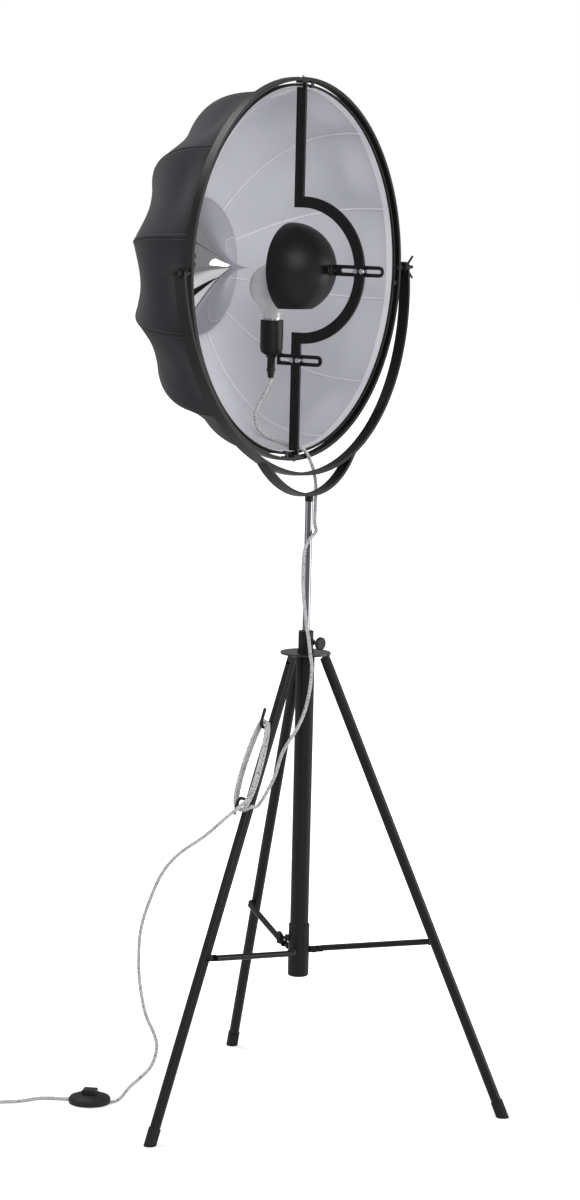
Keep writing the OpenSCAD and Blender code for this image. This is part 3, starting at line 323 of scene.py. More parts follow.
def tube(name, path, diameter):
    """A closed tube with a ring at every point of the path, mapped in squares of its girth."""
    last = len(path) - 1
    ways = [(path[min(i + 1, last)] - path[max(i - 1, 0)]).normalized() for i in range(last + 1)]
    girth = math.pi * diameter
    vertices, runs, run = [], [], 0.0
    for i, (point, way, across) in enumerate(zip(path, ways, carried(ways))):
        run += (point - path[i - 1]).length / girth if i else 0
        runs.append(run)
        other = way.cross(across)
        for k in range(TUBE_SIDES):
            angle = 2 * math.pi * k / TUBE_SIDES
            side = math.cos(angle) * across + math.sin(angle) * other
            vertices.append(point + side * diameter / 2)
    faces, uvs = [], []
    for i in range(last):
        for k in range(TUBE_SIDES):
            a, b = i * TUBE_SIDES + k, i * TUBE_SIDES + (k + 1) % TUBE_SIDES
            faces.append((a, b, b + TUBE_SIDES, a + TUBE_SIDES))
            u, w = k / TUBE_SIDES, (k + 1) / TUBE_SIDES
            uvs += [(u, runs[i]), (w, runs[i]), (w, runs[i + 1]), (u, runs[i + 1])]
    faces.append(tuple(reversed(range(TUBE_SIDES))))
    faces.append(tuple(range(last * TUBE_SIDES, (last + 1) * TUBE_SIDES)))
    uvs += [(0.5, 0)] * TUBE_SIDES + [(0.5, runs[-1])] * TUBE_SIDES
    return new_mesh(name, vertices, faces, uvs)


# %% [markdown]
# ## The cord's pieces
# Each stretch stands for one solid of the frame. Where a joint lies between its two ends the
# real cord bends between the two bodies, and the piece rides on neither; elsewhere it rides on
# one. The last piece runs from the foot switch through the coil to the plug without a break.

# %% Lay the cord
def lay_cord(name, path, nodes, bodies):
    """A stretch of cord in place of its solids, which also prints its length."""
    piece = tube(name, path, CORD * MM)
    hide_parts(*nodes)
    length_of(path)
    if len(bodies) == 2:
        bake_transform(piece)
    else:
        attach(piece, *bodies)
    print(name, round(length_of(path), 3), "m")
    return piece


cords = [
    lay_cord("lamp_cord", lamp_path, ["cord_lamp"], ["lamp_carrier", "head"]),
    lay_cord("tilt_cord", tilt_path, ["cord_tilt"], ["head", "yoke_body"]),
    lay_cord("swivel_cord", swivel_path, ["cord_swivel"], ["yoke_body", "mast_body"]),
    lay_cord("mast_cord", mast_path, ["cord_mast"], ["mast_body", "stand"]),
    lay_cord("leg_cord", leg_path, ["cord_leg"], ["stand", "left_leg_body"]),
    lay_cord("wound_cord", wound_path, ["cord_wound"], ["left_leg_body"]),
    lay_cord("drop_cord", drop_path, ["cord_drop"], ["left_leg_body", "stand"]),
    lay_cord("switch_cord", switch_path, ["cord_floor"], ["stand"]),
    lay_cord("coil_cord", coil_path, ["cord_floor", "cord_coil"], ["stand"]),
]
total = sum(length_of(p) for p in (lamp_path, tilt_path, swivel_path, mast_path, leg_path,
                                   wound_path, drop_path, switch_path, coil_path))
print("cord from grip to plug:", round(total + 2 * SWITCH_EDGE * MM, 2), "m")

# %% [markdown]
# ## How the finishes are written
# Each finish is one Principled shader fed by small noise and wave patterns. The node editor
# could hold them, but in a script a formula reads better than a web of boxes. So one small
# class lets a number inside a finish be added and multiplied like any other, and each sign
# makes the Math node that it stands for. A second class holds the material and adds any node.

# %% Numbers inside a finish
class Amount:
    """A number that varies over a surface. Each operation makes one Math node."""

    def __init__(self, finish, socket):
        self.finish, self.socket = finish, socket

    def maths(self, operation, *values):
        node = self.finish.node("ShaderNodeMath", {"operation": operation},
                                dict(enumerate(values)))
        return Amount(self.finish, node.outputs[0])

    def __add__(self, other):
        return self.maths("ADD", self, other)

    def __sub__(self, other):
        return self.maths("SUBTRACT", self, other)

    def __rsub__(self, other):
        return self.maths("SUBTRACT", other, self)

    def __mul__(self, other):
        return self.maths("MULTIPLY", self, other)

    def __pow__(self, other):
        return self.maths("POWER", self, other)

    __radd__, __rmul__ = __add__, __mul__

    def over(self, other):
        return self.maths("GREATER_THAN", self, other)

    def sine(self):
        return self.maths("SINE", self)

    def size(self):
        return self.maths("ABSOLUTE", self)

    def floor(self):
        return self.maths("FLOOR", self)

    def least(self, other):
        return self.maths("MINIMUM", self, other)


# %% [markdown]
# A finish keeps one rule: a value that varies goes only to the colour, the roughness, the glow
# or the bumps, since those can be baked to a picture later. Everything else is a constant.

# %% A finish
class Finish:
    """One material: a Principled shader and whatever feeds it."""

    def __init__(self, name, colour, roughness, **constants):
        self.material = bpy.data.materials.new(name)
        self.material.use_nodes = True
        self.tree = self.material.node_tree
        self.shader = self.tree.nodes["Principled BSDF"]
        self.constant("Base_Color", (*colour, 1))
        self.constant("Roughness", roughness)
        for socket, value in constants.items():
            self.constant(socket, value)

    def constant(self, socket, value):
        self.shader.inputs[socket.replace("_", " ")].default_value = value

    def node(self, kind, settings=None, inputs=None):
        """A node of any kind, with its settings and its inputs, which may be other nodes'."""
        made = self.tree.nodes.new(kind)
        for key, value in (settings or {}).items():
            setattr(made, key, value)
        for key, value in (inputs or {}).items():
            value = value.socket if isinstance(value, Amount) else value
            if isinstance(value, bpy.types.NodeSocket):
                self.tree.links.new(value, made.inputs[key])
            else:
                made.inputs[key].default_value = value
        return made

    def feed(self, socket, value):
        """Links a varying value or colour to one of the shader's sockets."""
        value = value.socket if isinstance(value, Amount) else value
        self.tree.links.new(value, self.shader.inputs[socket])

    def place(self, kind="Object"):
        return self.node("ShaderNodeTexCoord").outputs[kind]

    def axes(self, kind="Object"):
        """The three coordinates of the place, as amounts."""
        parts = self.node("ShaderNodeSeparateXYZ", inputs={0: self.place(kind)})
        return [Amount(self, socket) for socket in parts.outputs]

    def noise(self, scale, detail=2.0, kind="Object", stretch=None):
        """Soft random patches, about 1 / scale metres apart."""
        where = self.place(kind)
        if stretch:
            where = self.node("ShaderNodeMapping", inputs={0: where, 3: stretch}).outputs[0]
        node = self.node("ShaderNodeTexNoise",
                         inputs={"Vector": where, "Scale": scale, "Detail": detail})
        return Amount(self, node.outputs[0])

    def mixed(self, amount, first, second):
        """A colour that goes from the first to the second as the amount goes from 0 to 1."""
        colours = [(*c, 1) if isinstance(c, tuple) else c for c in (first, second)]
        node = self.node("ShaderNodeMix", {"data_type": "RGBA"},
                         {0: amount, 6: colours[0], 7: colours[1]})
        return node.outputs[2]

    def relief(self, height, depth, strength=1.0):
        """Turns a height from 0 to 1 into bumps of that depth in metres."""
        node = self.node("ShaderNodeBump", inputs={
            "Height": height, "Distance": depth, "Strength": strength})
        self.feed("Normal", node.outputs[0])


finishes = {}

# %% [markdown]
# ## Metal finishes
# The legs, the column, the yoke, the ring and the bowl wear a satin black powder coat: a hard
# plastic skin with a fine orange-peel surface, which breaks a reflection up softly. One plain
# roughness would look like vinyl, so two sizes of noise vary it: patches a hand wide where the
# coat is slightly glossier, and a grain under a millimetre that also lifts the surface. The
# round plate wears a smoother coat, and blackened zinc is near enough to share the recipe.

# %% Black coats
COAT_PATCHES, COAT_GRAIN, COAT_RELIEF = 7, 1300, 0.00006


def powder_coat(name, dark, light, roughness, shine=0.25):
    """A satin coat between two near blacks, in soft patches and with a fine grain."""
    coat = Finish(name, dark, roughness, Specular_IOR_Level=shine)
    patches, grain = coat.noise(COAT_PATCHES, 3), coat.noise(COAT_GRAIN, 2)
    coat.feed("Base Color", coat.mixed(patches, dark, light))
    coat.feed("Roughness", 0.14 * patches + 0.10 * grain + (roughness - 0.12))
    coat.relief(grain, COAT_RELIEF, 0.5)
    return coat


finishes["black_metal"] = powder_coat("satin_black_coat", (0.005, 0.005, 0.0055),
                                      (0.008, 0.008, 0.0085), 0.42)
finishes["smooth_black"] = powder_coat("smooth_black_coat", (0.010, 0.0095, 0.009),
                                       (0.018, 0.017, 0.016), 0.27, shine=0.5)
finishes["dark_metal"] = powder_coat("black_zinc", (0.010, 0.010, 0.011),
                                     (0.018, 0.018, 0.019), 0.36)

# %% [markdown]
# The mast is a chromed tube, and the ribs, the screws and the plug's pins are zinc plated.
# Bare metal has no coat, so its colour is its reflection. Drawing leaves faint streaks, which a
# noise makes when it is stretched along the way that the metal was drawn.

# %% Chrome and steel
STREAK_SHADE = 0.82


def bright_metal(name, colour, roughness, patch_scale, stretch, streaks=0.10):
    """A bare or plated metal with faint streaks along the way it was drawn or polished."""
    metal = Finish(name, colour, roughness, Metallic=1.0)
    streak = metal.noise(patch_scale, 4, stretch=stretch)
    dull = tuple(STREAK_SHADE * c for c in colour)
    metal.feed("Base Color", metal.mixed(streak, colour, dull))
    metal.feed("Roughness", streaks * streak + (roughness - streaks / 2))
    return metal


finishes["chrome"] = bright_metal("smoked_chrome", (0.33, 0.33, 0.35), 0.13, 60, (1, 1, 0.02))
finishes["steel"] = bright_metal("zinc_plated_steel", (0.62, 0.62, 0.64), 0.30, 500,
                                 (1, 1, 1), streaks=0.2)
print("metal finishes:", ", ".join(finishes))

# %% [markdown]
# ## The mirror
# The cone at the bottom of the dish is spun from bright aluminium and polished, so its faint
# lines run round its axis. The pattern therefore reads only the distance along that axis, which
# a noise stretched flat across the other two gives.

# %% Mirror
middle = Vector(joints["head_tilt"]["pos_m"])
mirror = bright_metal("spun_mirror", (0.70, 0.70, 0.72), 0.05, 700, (0.001, 1, 0.001),
                      streaks=0.05)
finishes["mirror"] = mirror
print("dish's middle at", [round(x, 3) for x in middle])

# %% [markdown]
# ## Moulded and fired finishes
# The knobs, the grip, the plug and the foot switch are moulded plastic with a fine leather
# texture, the caps on the feet are duller rubber, and the holder's insert is glazed ceramic.
# The globe is opal glass: milky all through and smooth outside, which subsurface scattering
# under a clear coat gives without the cost of real scattering glass.

# %% Plastic, rubber, ceramic and opal glass
MOULD_PATCHES = 30


def moulded(name, dark, light, roughness, grain_scale, depth):
    """Plastic, rubber or ceramic, with a fine grain and softly uneven colour."""
    plastic = Finish(name, dark, roughness, Specular_IOR_Level=0.28)
    grain, patches = plastic.noise(grain_scale, 3), plastic.noise(MOULD_PATCHES, 2)
    plastic.feed("Base Color", plastic.mixed(patches, dark, light))
    plastic.feed("Roughness", 0.2 * grain + 0.1 * patches + (roughness - 0.15))
    plastic.relief(grain, depth, 0.6)
    return plastic


finishes["black_plastic"] = moulded("black_plastic", (0.008, 0.008, 0.0085),
                                    (0.013, 0.013, 0.014), 0.48, 1500, 0.00008)
finishes["rubber"] = moulded("black_rubber", (0.008, 0.008, 0.008), (0.015, 0.015, 0.015),
                             0.72, 900, 0.00012)
finishes["ceramic"] = moulded("glazed_ceramic", (0.78, 0.76, 0.71), (0.72, 0.69, 0.63),
                              0.25, 200, 0.00002)
opal = Finish("opal_glass", (0.80, 0.81, 0.79), 0.2, Subsurface_Weight=0.6,
              Subsurface_Scale=0.012, Subsurface_Radius=(1.0, 1.0, 0.9), Coat_Weight=0.6,
              Coat_Roughness=0.06)
cloud = opal.noise(28, 2)
opal.feed("Base Color", opal.mixed(cloud, (0.90, 0.91, 0.88), (0.74, 0.76, 0.73)))
opal.feed("Roughness", 0.1 * cloud + 0.16)
finishes["opal_glass"] = opal
print("finishes so far:", len(finishes))

# %% [markdown]
# ## The braid
# The cord's jacket is braided from pale grey yarn with a darker one here and there. Seen
# close, the yarns are diamonds that lean both ways, so two sets of stripes are laid across the
# cord's map, one leaning each way. The stripes' heights lift the yarns, and their grooves get
# painted shade; a random number for each diamond picks the dark flecks, about one in seven. A
# whole number of stripes fits the girth, so that the pattern meets itself at the seam.

# %% Braid
YARNS = 9
FLECKS = 0.14
braid = Finish("pale_braid", (0.5, 0.5, 0.5), 0.85, Sheen_Weight=0.25, Sheen_Roughness=0.5)
round_it, along_it, _ = braid.axes("UV")
leaning = [(round_it + along_it) * YARNS, (round_it - along_it) * YARNS]
yarn = [(stripe * math.pi).sine().size() for stripe in leaning]
diamond = braid.node("ShaderNodeCombineXYZ", inputs={
    0: leaning[0].floor(), 1: leaning[1].floor()}).outputs[0]
luck = Amount(braid, braid.node("ShaderNodeTexWhiteNoise", inputs={"Vector": diamond}).outputs[0])
height = yarn[0].least(yarn[1]) ** 0.5
pale = braid.mixed(luck, (0.78, 0.76, 0.77), (0.62, 0.60, 0.61))
flecked = braid.mixed(luck.over(1 - FLECKS), pale, (0.10, 0.095, 0.10))
# Low between the yarns the colour falls to a near black: painted shade in the grooves.
braid.feed("Base Color", braid.mixed(height, (0.22, 0.21, 0.215), flecked))
braid.feed("Roughness", 0.2 * luck + 0.7)
braid.relief(height, 0.0003, 0.8)
finishes["braid"] = braid
for piece in cords:
    piece.data.materials.append(braid.material)
print("braid:", YARNS, "yarns each way")

# %% [markdown]
# ## The cloths' finishes
# Both cloths are plain woven. Their map is in millimetres, laid flat on each gore as it was cut,
# so the threads run straight along a gore and meet at an angle in its seams, as real ones do.
# The charcoal outside has a soft sheen. The white inside is painted greyer than the tape that
# covers its seams and its hem: a painted shade for the inside of the dish.

# %% Woven cloth
THREAD = 0.9


def woven(name, thread, dark_yarn_and_hollow_shade, roughness, depth, **constants):
    """A plain weave: threads over and under each other, with a slubby one here and there, and painted shade in the
    hollows between the threads.
    """
    cloth = Finish(name, thread, roughness, **constants)
    across, along, _ = cloth.axes("UV")
    pace = math.pi / THREAD
    warp, weft = (across * pace).sine(), (along * pace).sine()
    over_under = (across * (pace / 2)).sine() * (along * (pace / 2)).sine()
    bump = 0.7 * warp.size().least(weft.size()) + 0.3 * over_under.size()
    slub, patches = cloth.noise(0.6, 3, kind="UV", stretch=(1, 0.06, 1)), cloth.noise(9, 3)
    # The colour is darker where the weave dips, as painted shade, and darker along slubs and in patches, as the
    # yarn's own tone.
    hollow_shade_and_slubs = 0.5 * bump + 0.3 * slub + 0.25 * patches
    cloth.feed("Base Color", cloth.mixed(hollow_shade_and_slubs, dark_yarn_and_hollow_shade, thread))
    cloth.feed("Roughness", 0.15 * slub + (roughness - 0.08))
    cloth.relief(bump, depth, 0.5)
    return cloth


# Each cloth's second colour is used for its darker slubs and for the painted shade in the weave's hollows.
finishes["black_cloth"] = woven("charcoal_cloth", (0.026, 0.026, 0.031), (0.011, 0.011, 0.014),
                                0.90, 0.00012, Sheen_Weight=0.12, Sheen_Roughness=0.5,
                                Specular_IOR_Level=0.2)
# The lining's white is painted grey, as painted shade for the inside of the dish.
finishes["white_cloth"] = woven("white_cloth", (0.62, 0.62, 0.66), (0.49, 0.49, 0.53),
                                0.85, 0.00010, Sheen_Weight=0.1, Sheen_Roughness=0.5,
                                Specular_IOR_Level=0.3)
tape = woven("white_tape", (0.84, 0.84, 0.87), (0.70, 0.70, 0.74), 0.85, 0.00010)
print("threads:", THREAD, "mm apart, in charcoal, white and tape")

# %% [markdown]
# ## The dish's curve
# Twelve sprung ribs bend from the rim wire to the boss behind, as an umbrella's do. Their curve
# is a superellipse: nearly straight out of the rim, round at the shoulder and flat at the back.
# Between two ribs the tight cloth takes the shorter way and draws in, which gives the outline
# its scallops. Both cloths, their seams and the hem are made from this one curve.

# %% A point on the cloth
RIM_RADIUS, DISH_DEPTH, BOSS_RADIUS = 312, 230, 30
RIM_POWER, DEPTH_POWER = 0.91, 0.70
RIBS, FIRST_RIB = 12, 19.5
DRAW_IN, DRAW_FROM_RIM, DRAW_FROM_BOSS, DRAW_FADE = 0.055, 70, 115, 90
RIPPLE, RIPPLE_WAVES, RIPPLE_LENGTH = 1.1, 7, 19
RIM_WIRE = 4
NUDGE = 0.0035


def dish_point(angle):
    """Radius and depth on a rib, from the rim at 0 to the pole at a right angle."""
    return Vector((RIM_RADIUS * math.cos(angle) ** RIM_POWER,
                   DISH_DEPTH * math.sin(angle) ** DEPTH_POWER))


def dish_out(angle):
    """The direction that points straight out of the dish there."""
    along = dish_point(angle + NUDGE) - dish_point(max(0, angle - NUDGE))
    return Vector((along.y, -along.x)).normalized()


def at_depth(depth):
    return math.asin((depth / DISH_DEPTH) ** (1 / DEPTH_POWER))


def at_radius(radius):
    return math.acos((radius / RIM_RADIUS) ** (1 / RIM_POWER))


def gore_point(angle, turn, offset):
    """A point of the cloth, so far out of the ribs' curve, in metres from the dish's middle."""
    flat = dish_point(angle)
    between = abs(math.sin(math.radians(turn - FIRST_RIB) * RIBS / 2))
    fade = ease(flat.y / DRAW_FROM_RIM) * ease((flat.x - DRAW_FROM_BOSS) / DRAW_FADE)
    wave = math.sin(math.radians(RIPPLE_WAVES * turn) + flat.y / RIPPLE_LENGTH)
    ripple = RIPPLE * fade * between * (1 + wave)
    flat += (offset - DRAW_IN * flat.x * between * fade - ripple) * dish_out(angle)
    angle_round = math.radians(turn)
    return Vector((flat.x * math.cos(angle_round), flat.y, flat.x * math.sin(angle_round))) * MM


print("dish:", RIBS, "ribs,", RIM_RADIUS, "mm in radius and", DISH_DEPTH, "mm deep")

# %% [markdown]
# A cloth is two skins of faces with its edges closed. Its rows lie closer together in angle
# towards the rim, because the depth grows fastest with the angle there. Each gore gets its own
# flat map, so that the weave starts afresh at every seam.

# %% A cloth between two angles of the curve
COLUMNS = 16
CLOTH_EDGE = math.radians(50)


def sewn_cloth(name, low, high, front, back, rows):
    """Twelve gores as one closed sheet, mapped in millimetres with each gore laid flat."""
    columns = RIBS * COLUMNS
    angles = [front + (back - front) * (i / rows) ** 2 for i in range(rows + 1)]
    vertices = [middle + gore_point(angle, FIRST_RIB + 360 * k / columns, offset)
                for offset in (low, high) for angle in angles for k in range(columns)]
    down = [0.0]
    for a, b in zip(angles, angles[1:]):
        down.append(down[-1] + (dish_point(b) - dish_point(a)).length)
    high_side = (rows + 1) * columns
    faces, uvs = [], []

    def at(i, k, side=0):
        return side * high_side + i * columns + k % columns

    def flat_map(i, k, gore):
        arc = math.radians(360 * (k - (gore + 0.5) * COLUMNS) / columns)
        return dish_point(angles[i]).x * arc, down[i]

    def face(*corners):
        faces.append([at(*corner) for corner in corners])
        gore = min(corner[1] for corner in corners) // COLUMNS
        uvs.extend(flat_map(corner[0], corner[1], gore) for corner in corners)

    for k in range(columns):
        for i in range(rows):
            face((i, k, 0), (i, k + 1, 0), (i + 1, k + 1, 0), (i + 1, k, 0))
            face((i, k, 1), (i + 1, k, 1), (i + 1, k + 1, 1), (i, k + 1, 1))
        face((0, k, 0), (0, k, 1), (0, k + 1, 1), (0, k + 1, 0))
        face((rows, k, 0), (rows, k + 1, 0), (rows, k + 1, 1), (rows, k, 1))
    made = new_mesh(name, vertices, faces, uvs)
    made.data.set_sharp_from_angle(angle=CLOTH_EDGE)
    return made


# %% [markdown]
# ## The two cloths
# The cloth is 0.8 mm thick and lies 1.8 mm off the ribs' curve on both sides, where the frame's
# own solids have it. A simulation would only find the same tight surface again, so the sheet is
# built straight from the curve, sixteen columns to a gore, with a faint ripple where real cloth
# is never quite tight. Its cut is twelve gores side by side.

# %% Cover and lining
RIB_GAP, CLOTH = 1.8, 0.8
OUTER, INNER = RIB_GAP + CLOTH, -RIB_GAP - CLOTH
WIRE_GAP, BOSS_GAP = 0.4, 2
CLOTH_ROWS, CUT_STEPS = 40, 50
front_angle = at_depth(RIM_WIRE / 2 + WIRE_GAP)
back_angle = at_radius(BOSS_RADIUS + BOSS_GAP)
cover = sewn_cloth("dish_cover", RIB_GAP, OUTER, front_angle, back_angle, CLOTH_ROWS)
lining = sewn_cloth("dish_lining", INNER, -RIB_GAP, front_angle, back_angle, CLOTH_ROWS)


def one_side(piece):
    """The area of one face of a cloth, in square metres."""
    return sum(face.area for face in piece.data.polygons) / 2


gore = [dish_point(front_angle + (back_angle - front_angle) * k / CUT_STEPS)
        for k in range(CUT_STEPS + 1)]
cut = (2 * math.pi * RIM_RADIUS * MM, length_of(gore) * MM)
for piece, node, slot in ((cover, "shade_cover", "black_cloth"),
                          (lining, "shade_lining", "white_cloth")):
    piece.data.materials.append(finishes[slot].material)
    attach(piece, "head")
    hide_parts(node)
    print(piece.name, "cut from", [round(x, 3) for x in cut], "area", round(one_side(piece), 3))

# %% [markdown]
# The lining is turned over the rim wire and sewn down, which shows as a double white edge all
# round the mouth. This hem is a narrow strip of the same curve, just inside the lining.

# %% Hem
HEM_DEPTH, HEM, HEM_GAP = 13, 0.6, 0.1
HEM_ROWS = 8
hem = sewn_cloth("lining_hem", INNER - HEM_GAP - HEM, INNER - HEM_GAP,
                 front_angle, at_depth(HEM_DEPTH), HEM_ROWS)
hem.data.materials.append(tape.material)
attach(hem, "head")
print("hem:", HEM_DEPTH, "mm deep")

# %% [markdown]
# ## Geometry Nodes recipes
# Seams repeat twelve times round the dish, and stitches about fifty times along each seam. A
# loop could copy them, but a node tree keeps the rule in one place with its sizes as inputs.
# This small class writes such a tree, sets its inputs by their identifiers, and turns the result
# into a plain mesh, because the export keeps no instances.

# %% Recipe
SOCKETS = {int: "NodeSocketInt", float: "NodeSocketFloat", tuple: "NodeSocketVector"}


class Recipe:
    """One Geometry Nodes tree with named inputs."""

    def __init__(self, name, **inputs):
        self.tree = bpy.data.node_groups.new(name, "GeometryNodeTree")
        face = self.tree.interface
        face.new_socket("Geometry", in_out="INPUT", socket_type="NodeSocketGeometry")
        for label, value in inputs.items():
            socket = face.new_socket(label, in_out="INPUT", socket_type=SOCKETS[type(value)])
            socket.default_value = value
        face.new_socket("Geometry", in_out="OUTPUT", socket_type="NodeSocketGeometry")
        self.given = self.tree.nodes.new("NodeGroupInput").outputs

    def node(self, kind, settings=None, inputs=None):
        made = self.tree.nodes.new(kind)
        for key, value in (settings or {}).items():
            setattr(made, key, value)
        for key, value in (inputs or {}).items():
            if isinstance(value, bpy.types.NodeSocket):
                self.tree.links.new(value, made.inputs[key])
            else:
                made.inputs[key].default_value = value
        return made.outputs

    def ring_of(self, geometry, copies):
        """Copies of a geometry turned about the Y axis, evenly spaced."""
        step = self.node("ShaderNodeMath", {"operation": "DIVIDE"}, {0: -2 * math.pi, 1: copies})
        angle = self.node("ShaderNodeMath", {"operation": "MULTIPLY"},
                          {0: step[0], 1: self.node("GeometryNodeInputIndex")[0]})
        turned = self.node("ShaderNodeCombineXYZ", inputs={1: angle[0]})
        spots = self.node("GeometryNodePoints", inputs={"Count": copies})
        return self.node("GeometryNodeInstanceOnPoints", inputs={
            "Points": spots[0], "Instance": geometry, "Rotation": turned[0]})[0]

    def finish(self, geometry, place, material):
        """Ends the tree: plain geometry, put in its place, in one material."""
        moved = self.node("GeometryNodeTransform", inputs={
            "Geometry": self.node("GeometryNodeRealizeInstances", inputs={0: geometry})[0],
            "Translation": place})
        clad = self.node("GeometryNodeSetMaterial", inputs={
            "Geometry": moved[0], "Material": material})
        self.tree.links.new(clad[0], self.tree.nodes.new("NodeGroupOutput").inputs[0])

    def make(self, name, vertices, edges, **values):
        """Runs the recipe on a line or a few points, and returns a plain mesh object."""
        base = bpy.data.meshes.new(name + "_line")
        base.from_pydata([tuple(v) for v in vertices], edges, [])
        made = bpy.data.objects.new(name, base)
        bpy.context.scene.collection.objects.link(made)
        modifier = made.modifiers.new("recipe", "NODES")
        modifier.node_group = self.tree
        for item in self.tree.interface.items_tree:
            if item.in_out == "INPUT" and item.name in values:
                modifier[item.identifier] = values[item.name]
        evaluated = made.evaluated_get(bpy.context.evaluated_depsgraph_get())
        plain = bpy.data.meshes.new_from_object(evaluated)
        made.modifiers.clear()
        made.data = plain
        print(name, len(plain.polygons), "faces")
        return made


def in_line(count):
    """The edges that join so many points one after another."""
    return [(i, i + 1) for i in range(count - 1)]


# %% [markdown]
# ## Seams and stitches
# Inside the dish each rib runs in a taped seam that shows as a thin raised line. Outside, the
# seam is flatter, with a row of stitches on each side of it. A last row holds the hem down. A
# seam is a small tube along the first rib, which the recipe repeats at all twelve.

# %% Raised seams of the lining and the cover
SEAM_SIDES = 8


def seam_recipe(name, material):
    """A round bead along a line, once for each rib."""
    recipe = Recipe(name, Copies=RIBS, Thickness=0.001, Middle=tuple(middle))
    line = recipe.node("GeometryNodeMeshToCurve", inputs={0: recipe.given["Geometry"]})
    ring = recipe.node("GeometryNodeCurvePrimitiveCircle", inputs={
        "Resolution": SEAM_SIDES, "Radius": recipe.given["Thickness"]})
    bead = recipe.node("GeometryNodeCurveToMesh", inputs={
        "Curve": line[0], "Profile Curve": ring[0], "Fill Caps": True})
    recipe.finish(recipe.ring_of(bead[0], recipe.given["Copies"]), recipe.given["Middle"],
                  material)
    return recipe


LINE_POINTS, LINE_CROWDING = 36, 1.6


def rib_line(offset, front_depth, back_radius, shift=0.0):
    """A line beside the first rib, shifted sideways by some millimetres."""
    front, back = at_depth(front_depth), at_radius(back_radius)
    line = []
    for k in range(LINE_POINTS):
        angle = front + (back - front) * (k / (LINE_POINTS - 1)) ** LINE_CROWDING
        aside = math.degrees(shift / dish_point(angle).x)
        line.append(gore_point(angle, FIRST_RIB + aside, offset))
    return line


charcoal = finishes["black_cloth"].material
seam_line = rib_line(INNER - 0.9, front_depth=12, back_radius=34)
lining_seams = seam_recipe("lining_seam", tape.material).make(
    "lining_seams", seam_line, in_line(LINE_POINTS), Thickness=0.0017)
seam_line = rib_line(OUTER - 0.1, front_depth=5, back_radius=44)
cover_seams = seam_recipe("cover_seam", charcoal).make(
    "cover_seams", seam_line, in_line(LINE_POINTS), Thickness=0.0008)

# %% [markdown]
# A stitch is a short thin rod. The line is cut into equal steps, a rod is laid along it at each
# step, and the row is then repeated round the dish as the seams are.

# %% Rows of stitches
STITCH_SIDES = 6
BESIDE_SEAM = 4
HEM_STITCHES = 240


def stitch_recipe(name, material):
    """A row of stitches along a line, once for each rib."""
    recipe = Recipe(name, Copies=RIBS, Spacing=0.007, Length=0.0045, Thickness=0.00035,
                    Middle=tuple(middle))
    line = recipe.node("GeometryNodeMeshToCurve", inputs={0: recipe.given["Geometry"]})
    spots = recipe.node("GeometryNodeResampleCurve", {"mode": "LENGTH"}, {
        "Curve": line[0], "Length": recipe.given["Spacing"]})
    stitch = recipe.node("GeometryNodeMeshCylinder", inputs={
        "Vertices": STITCH_SIDES, "Radius": recipe.given["Thickness"],
        "Depth": recipe.given["Length"]})
    along = recipe.node("FunctionNodeAlignRotationToVector", {"axis": "Z"}, {
        "Vector": recipe.node("GeometryNodeInputTangent")[0]})
    row = recipe.node("GeometryNodeInstanceOnPoints", inputs={
        "Points": spots[0], "Instance": stitch["Mesh"], "Rotation": along[0]})
    recipe.finish(recipe.ring_of(row[0], recipe.given["Copies"]), recipe.given["Middle"],
                  material)
    return recipe


def sewing_thread(name, dark, light):
    """A twisted thread whose colour changes along its twist."""
    thread = Finish(name, light, 0.6, Sheen_Weight=0.3)
    twist = 0.5 * thread.noise(2500, 2) + 0.3
    thread.feed("Base Color", thread.mixed(twist, dark, light))
    return thread


grey_thread = sewing_thread("grey_thread", (0.05, 0.05, 0.054), (0.10, 0.10, 0.105))
white_thread = sewing_thread("white_thread", (0.6, 0.6, 0.63), (0.8, 0.8, 0.83))

cover_stitches = stitch_recipe("cover_stitch", grey_thread.material)
rows = [cover_stitches.make(
    "cover_stitches_" + side,
    rib_line(OUTER + 0.15, front_depth=14, back_radius=52, shift=shift),
    in_line(LINE_POINTS)) for side, shift in (("left", -BESIDE_SEAM), ("right", BESIDE_SEAM))]
hem_row = at_depth(HEM_DEPTH - 2.5)
hem_line = [gore_point(hem_row, 360 / HEM_STITCHES * k, INNER - HEM - 0.25)
            for k in range(HEM_STITCHES)]
rows.append(stitch_recipe("hem_stitch", white_thread.material).make(
    "hem_stitches", hem_line, [*in_line(HEM_STITCHES), (HEM_STITCHES - 1, 0)], Copies=1))
for piece, slot in ((lining_seams, "white_cloth"), (cover_seams, "black_cloth"),
                    (rows[0], "black_cloth"), (rows[1], "black_cloth"), (rows[2], "white_cloth")):
    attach(piece, "head")

# %% [markdown]
# ## The mirror cone
# The frame's cone is turned from fourteen straight steps, which is enough for its place and
# weight, but a mirror shows every facet. Its skin here has ninety. It is a trumpet, whose
# radius falls as a power of the way to its tip. The power is higher than the frame's and the
# tip a little longer, because the reflections in the picture ask for a more slender one.

# %% Turned shapes
MIRROR_EDGE = math.radians(35)


def turned(name, profile, around):
    """A closed solid turned about the dish's axis, from (radius, depth) pairs with its poles."""
    vertices, rings = [], []
    for radius, depth in profile:
        if radius < 1e-6:
            rings.append([len(vertices)] * around)
            ring = [(0.0, 0.0)]
        else:
            rings.append(list(range(len(vertices), len(vertices) + around)))
            ring = [(radius * math.cos(2 * math.pi * k / around),
                     radius * math.sin(2 * math.pi * k / around)) for k in range(around)]
        vertices += [middle + Vector((x, depth, z)) * MM for x, z in ring]
    faces = []
    for low, high in zip(rings, rings[1:]):
        for k in range(around):
            corners = [low[k], low[(k + 1) % around], high[(k + 1) % around], high[k]]
            corners = list(dict.fromkeys(corners))
            if len(corners) > 2:
                faces.append(corners[::-1])
    made = new_mesh(name, vertices, faces)
    made.data.set_sharp_from_angle(angle=MIRROR_EDGE)
    return made


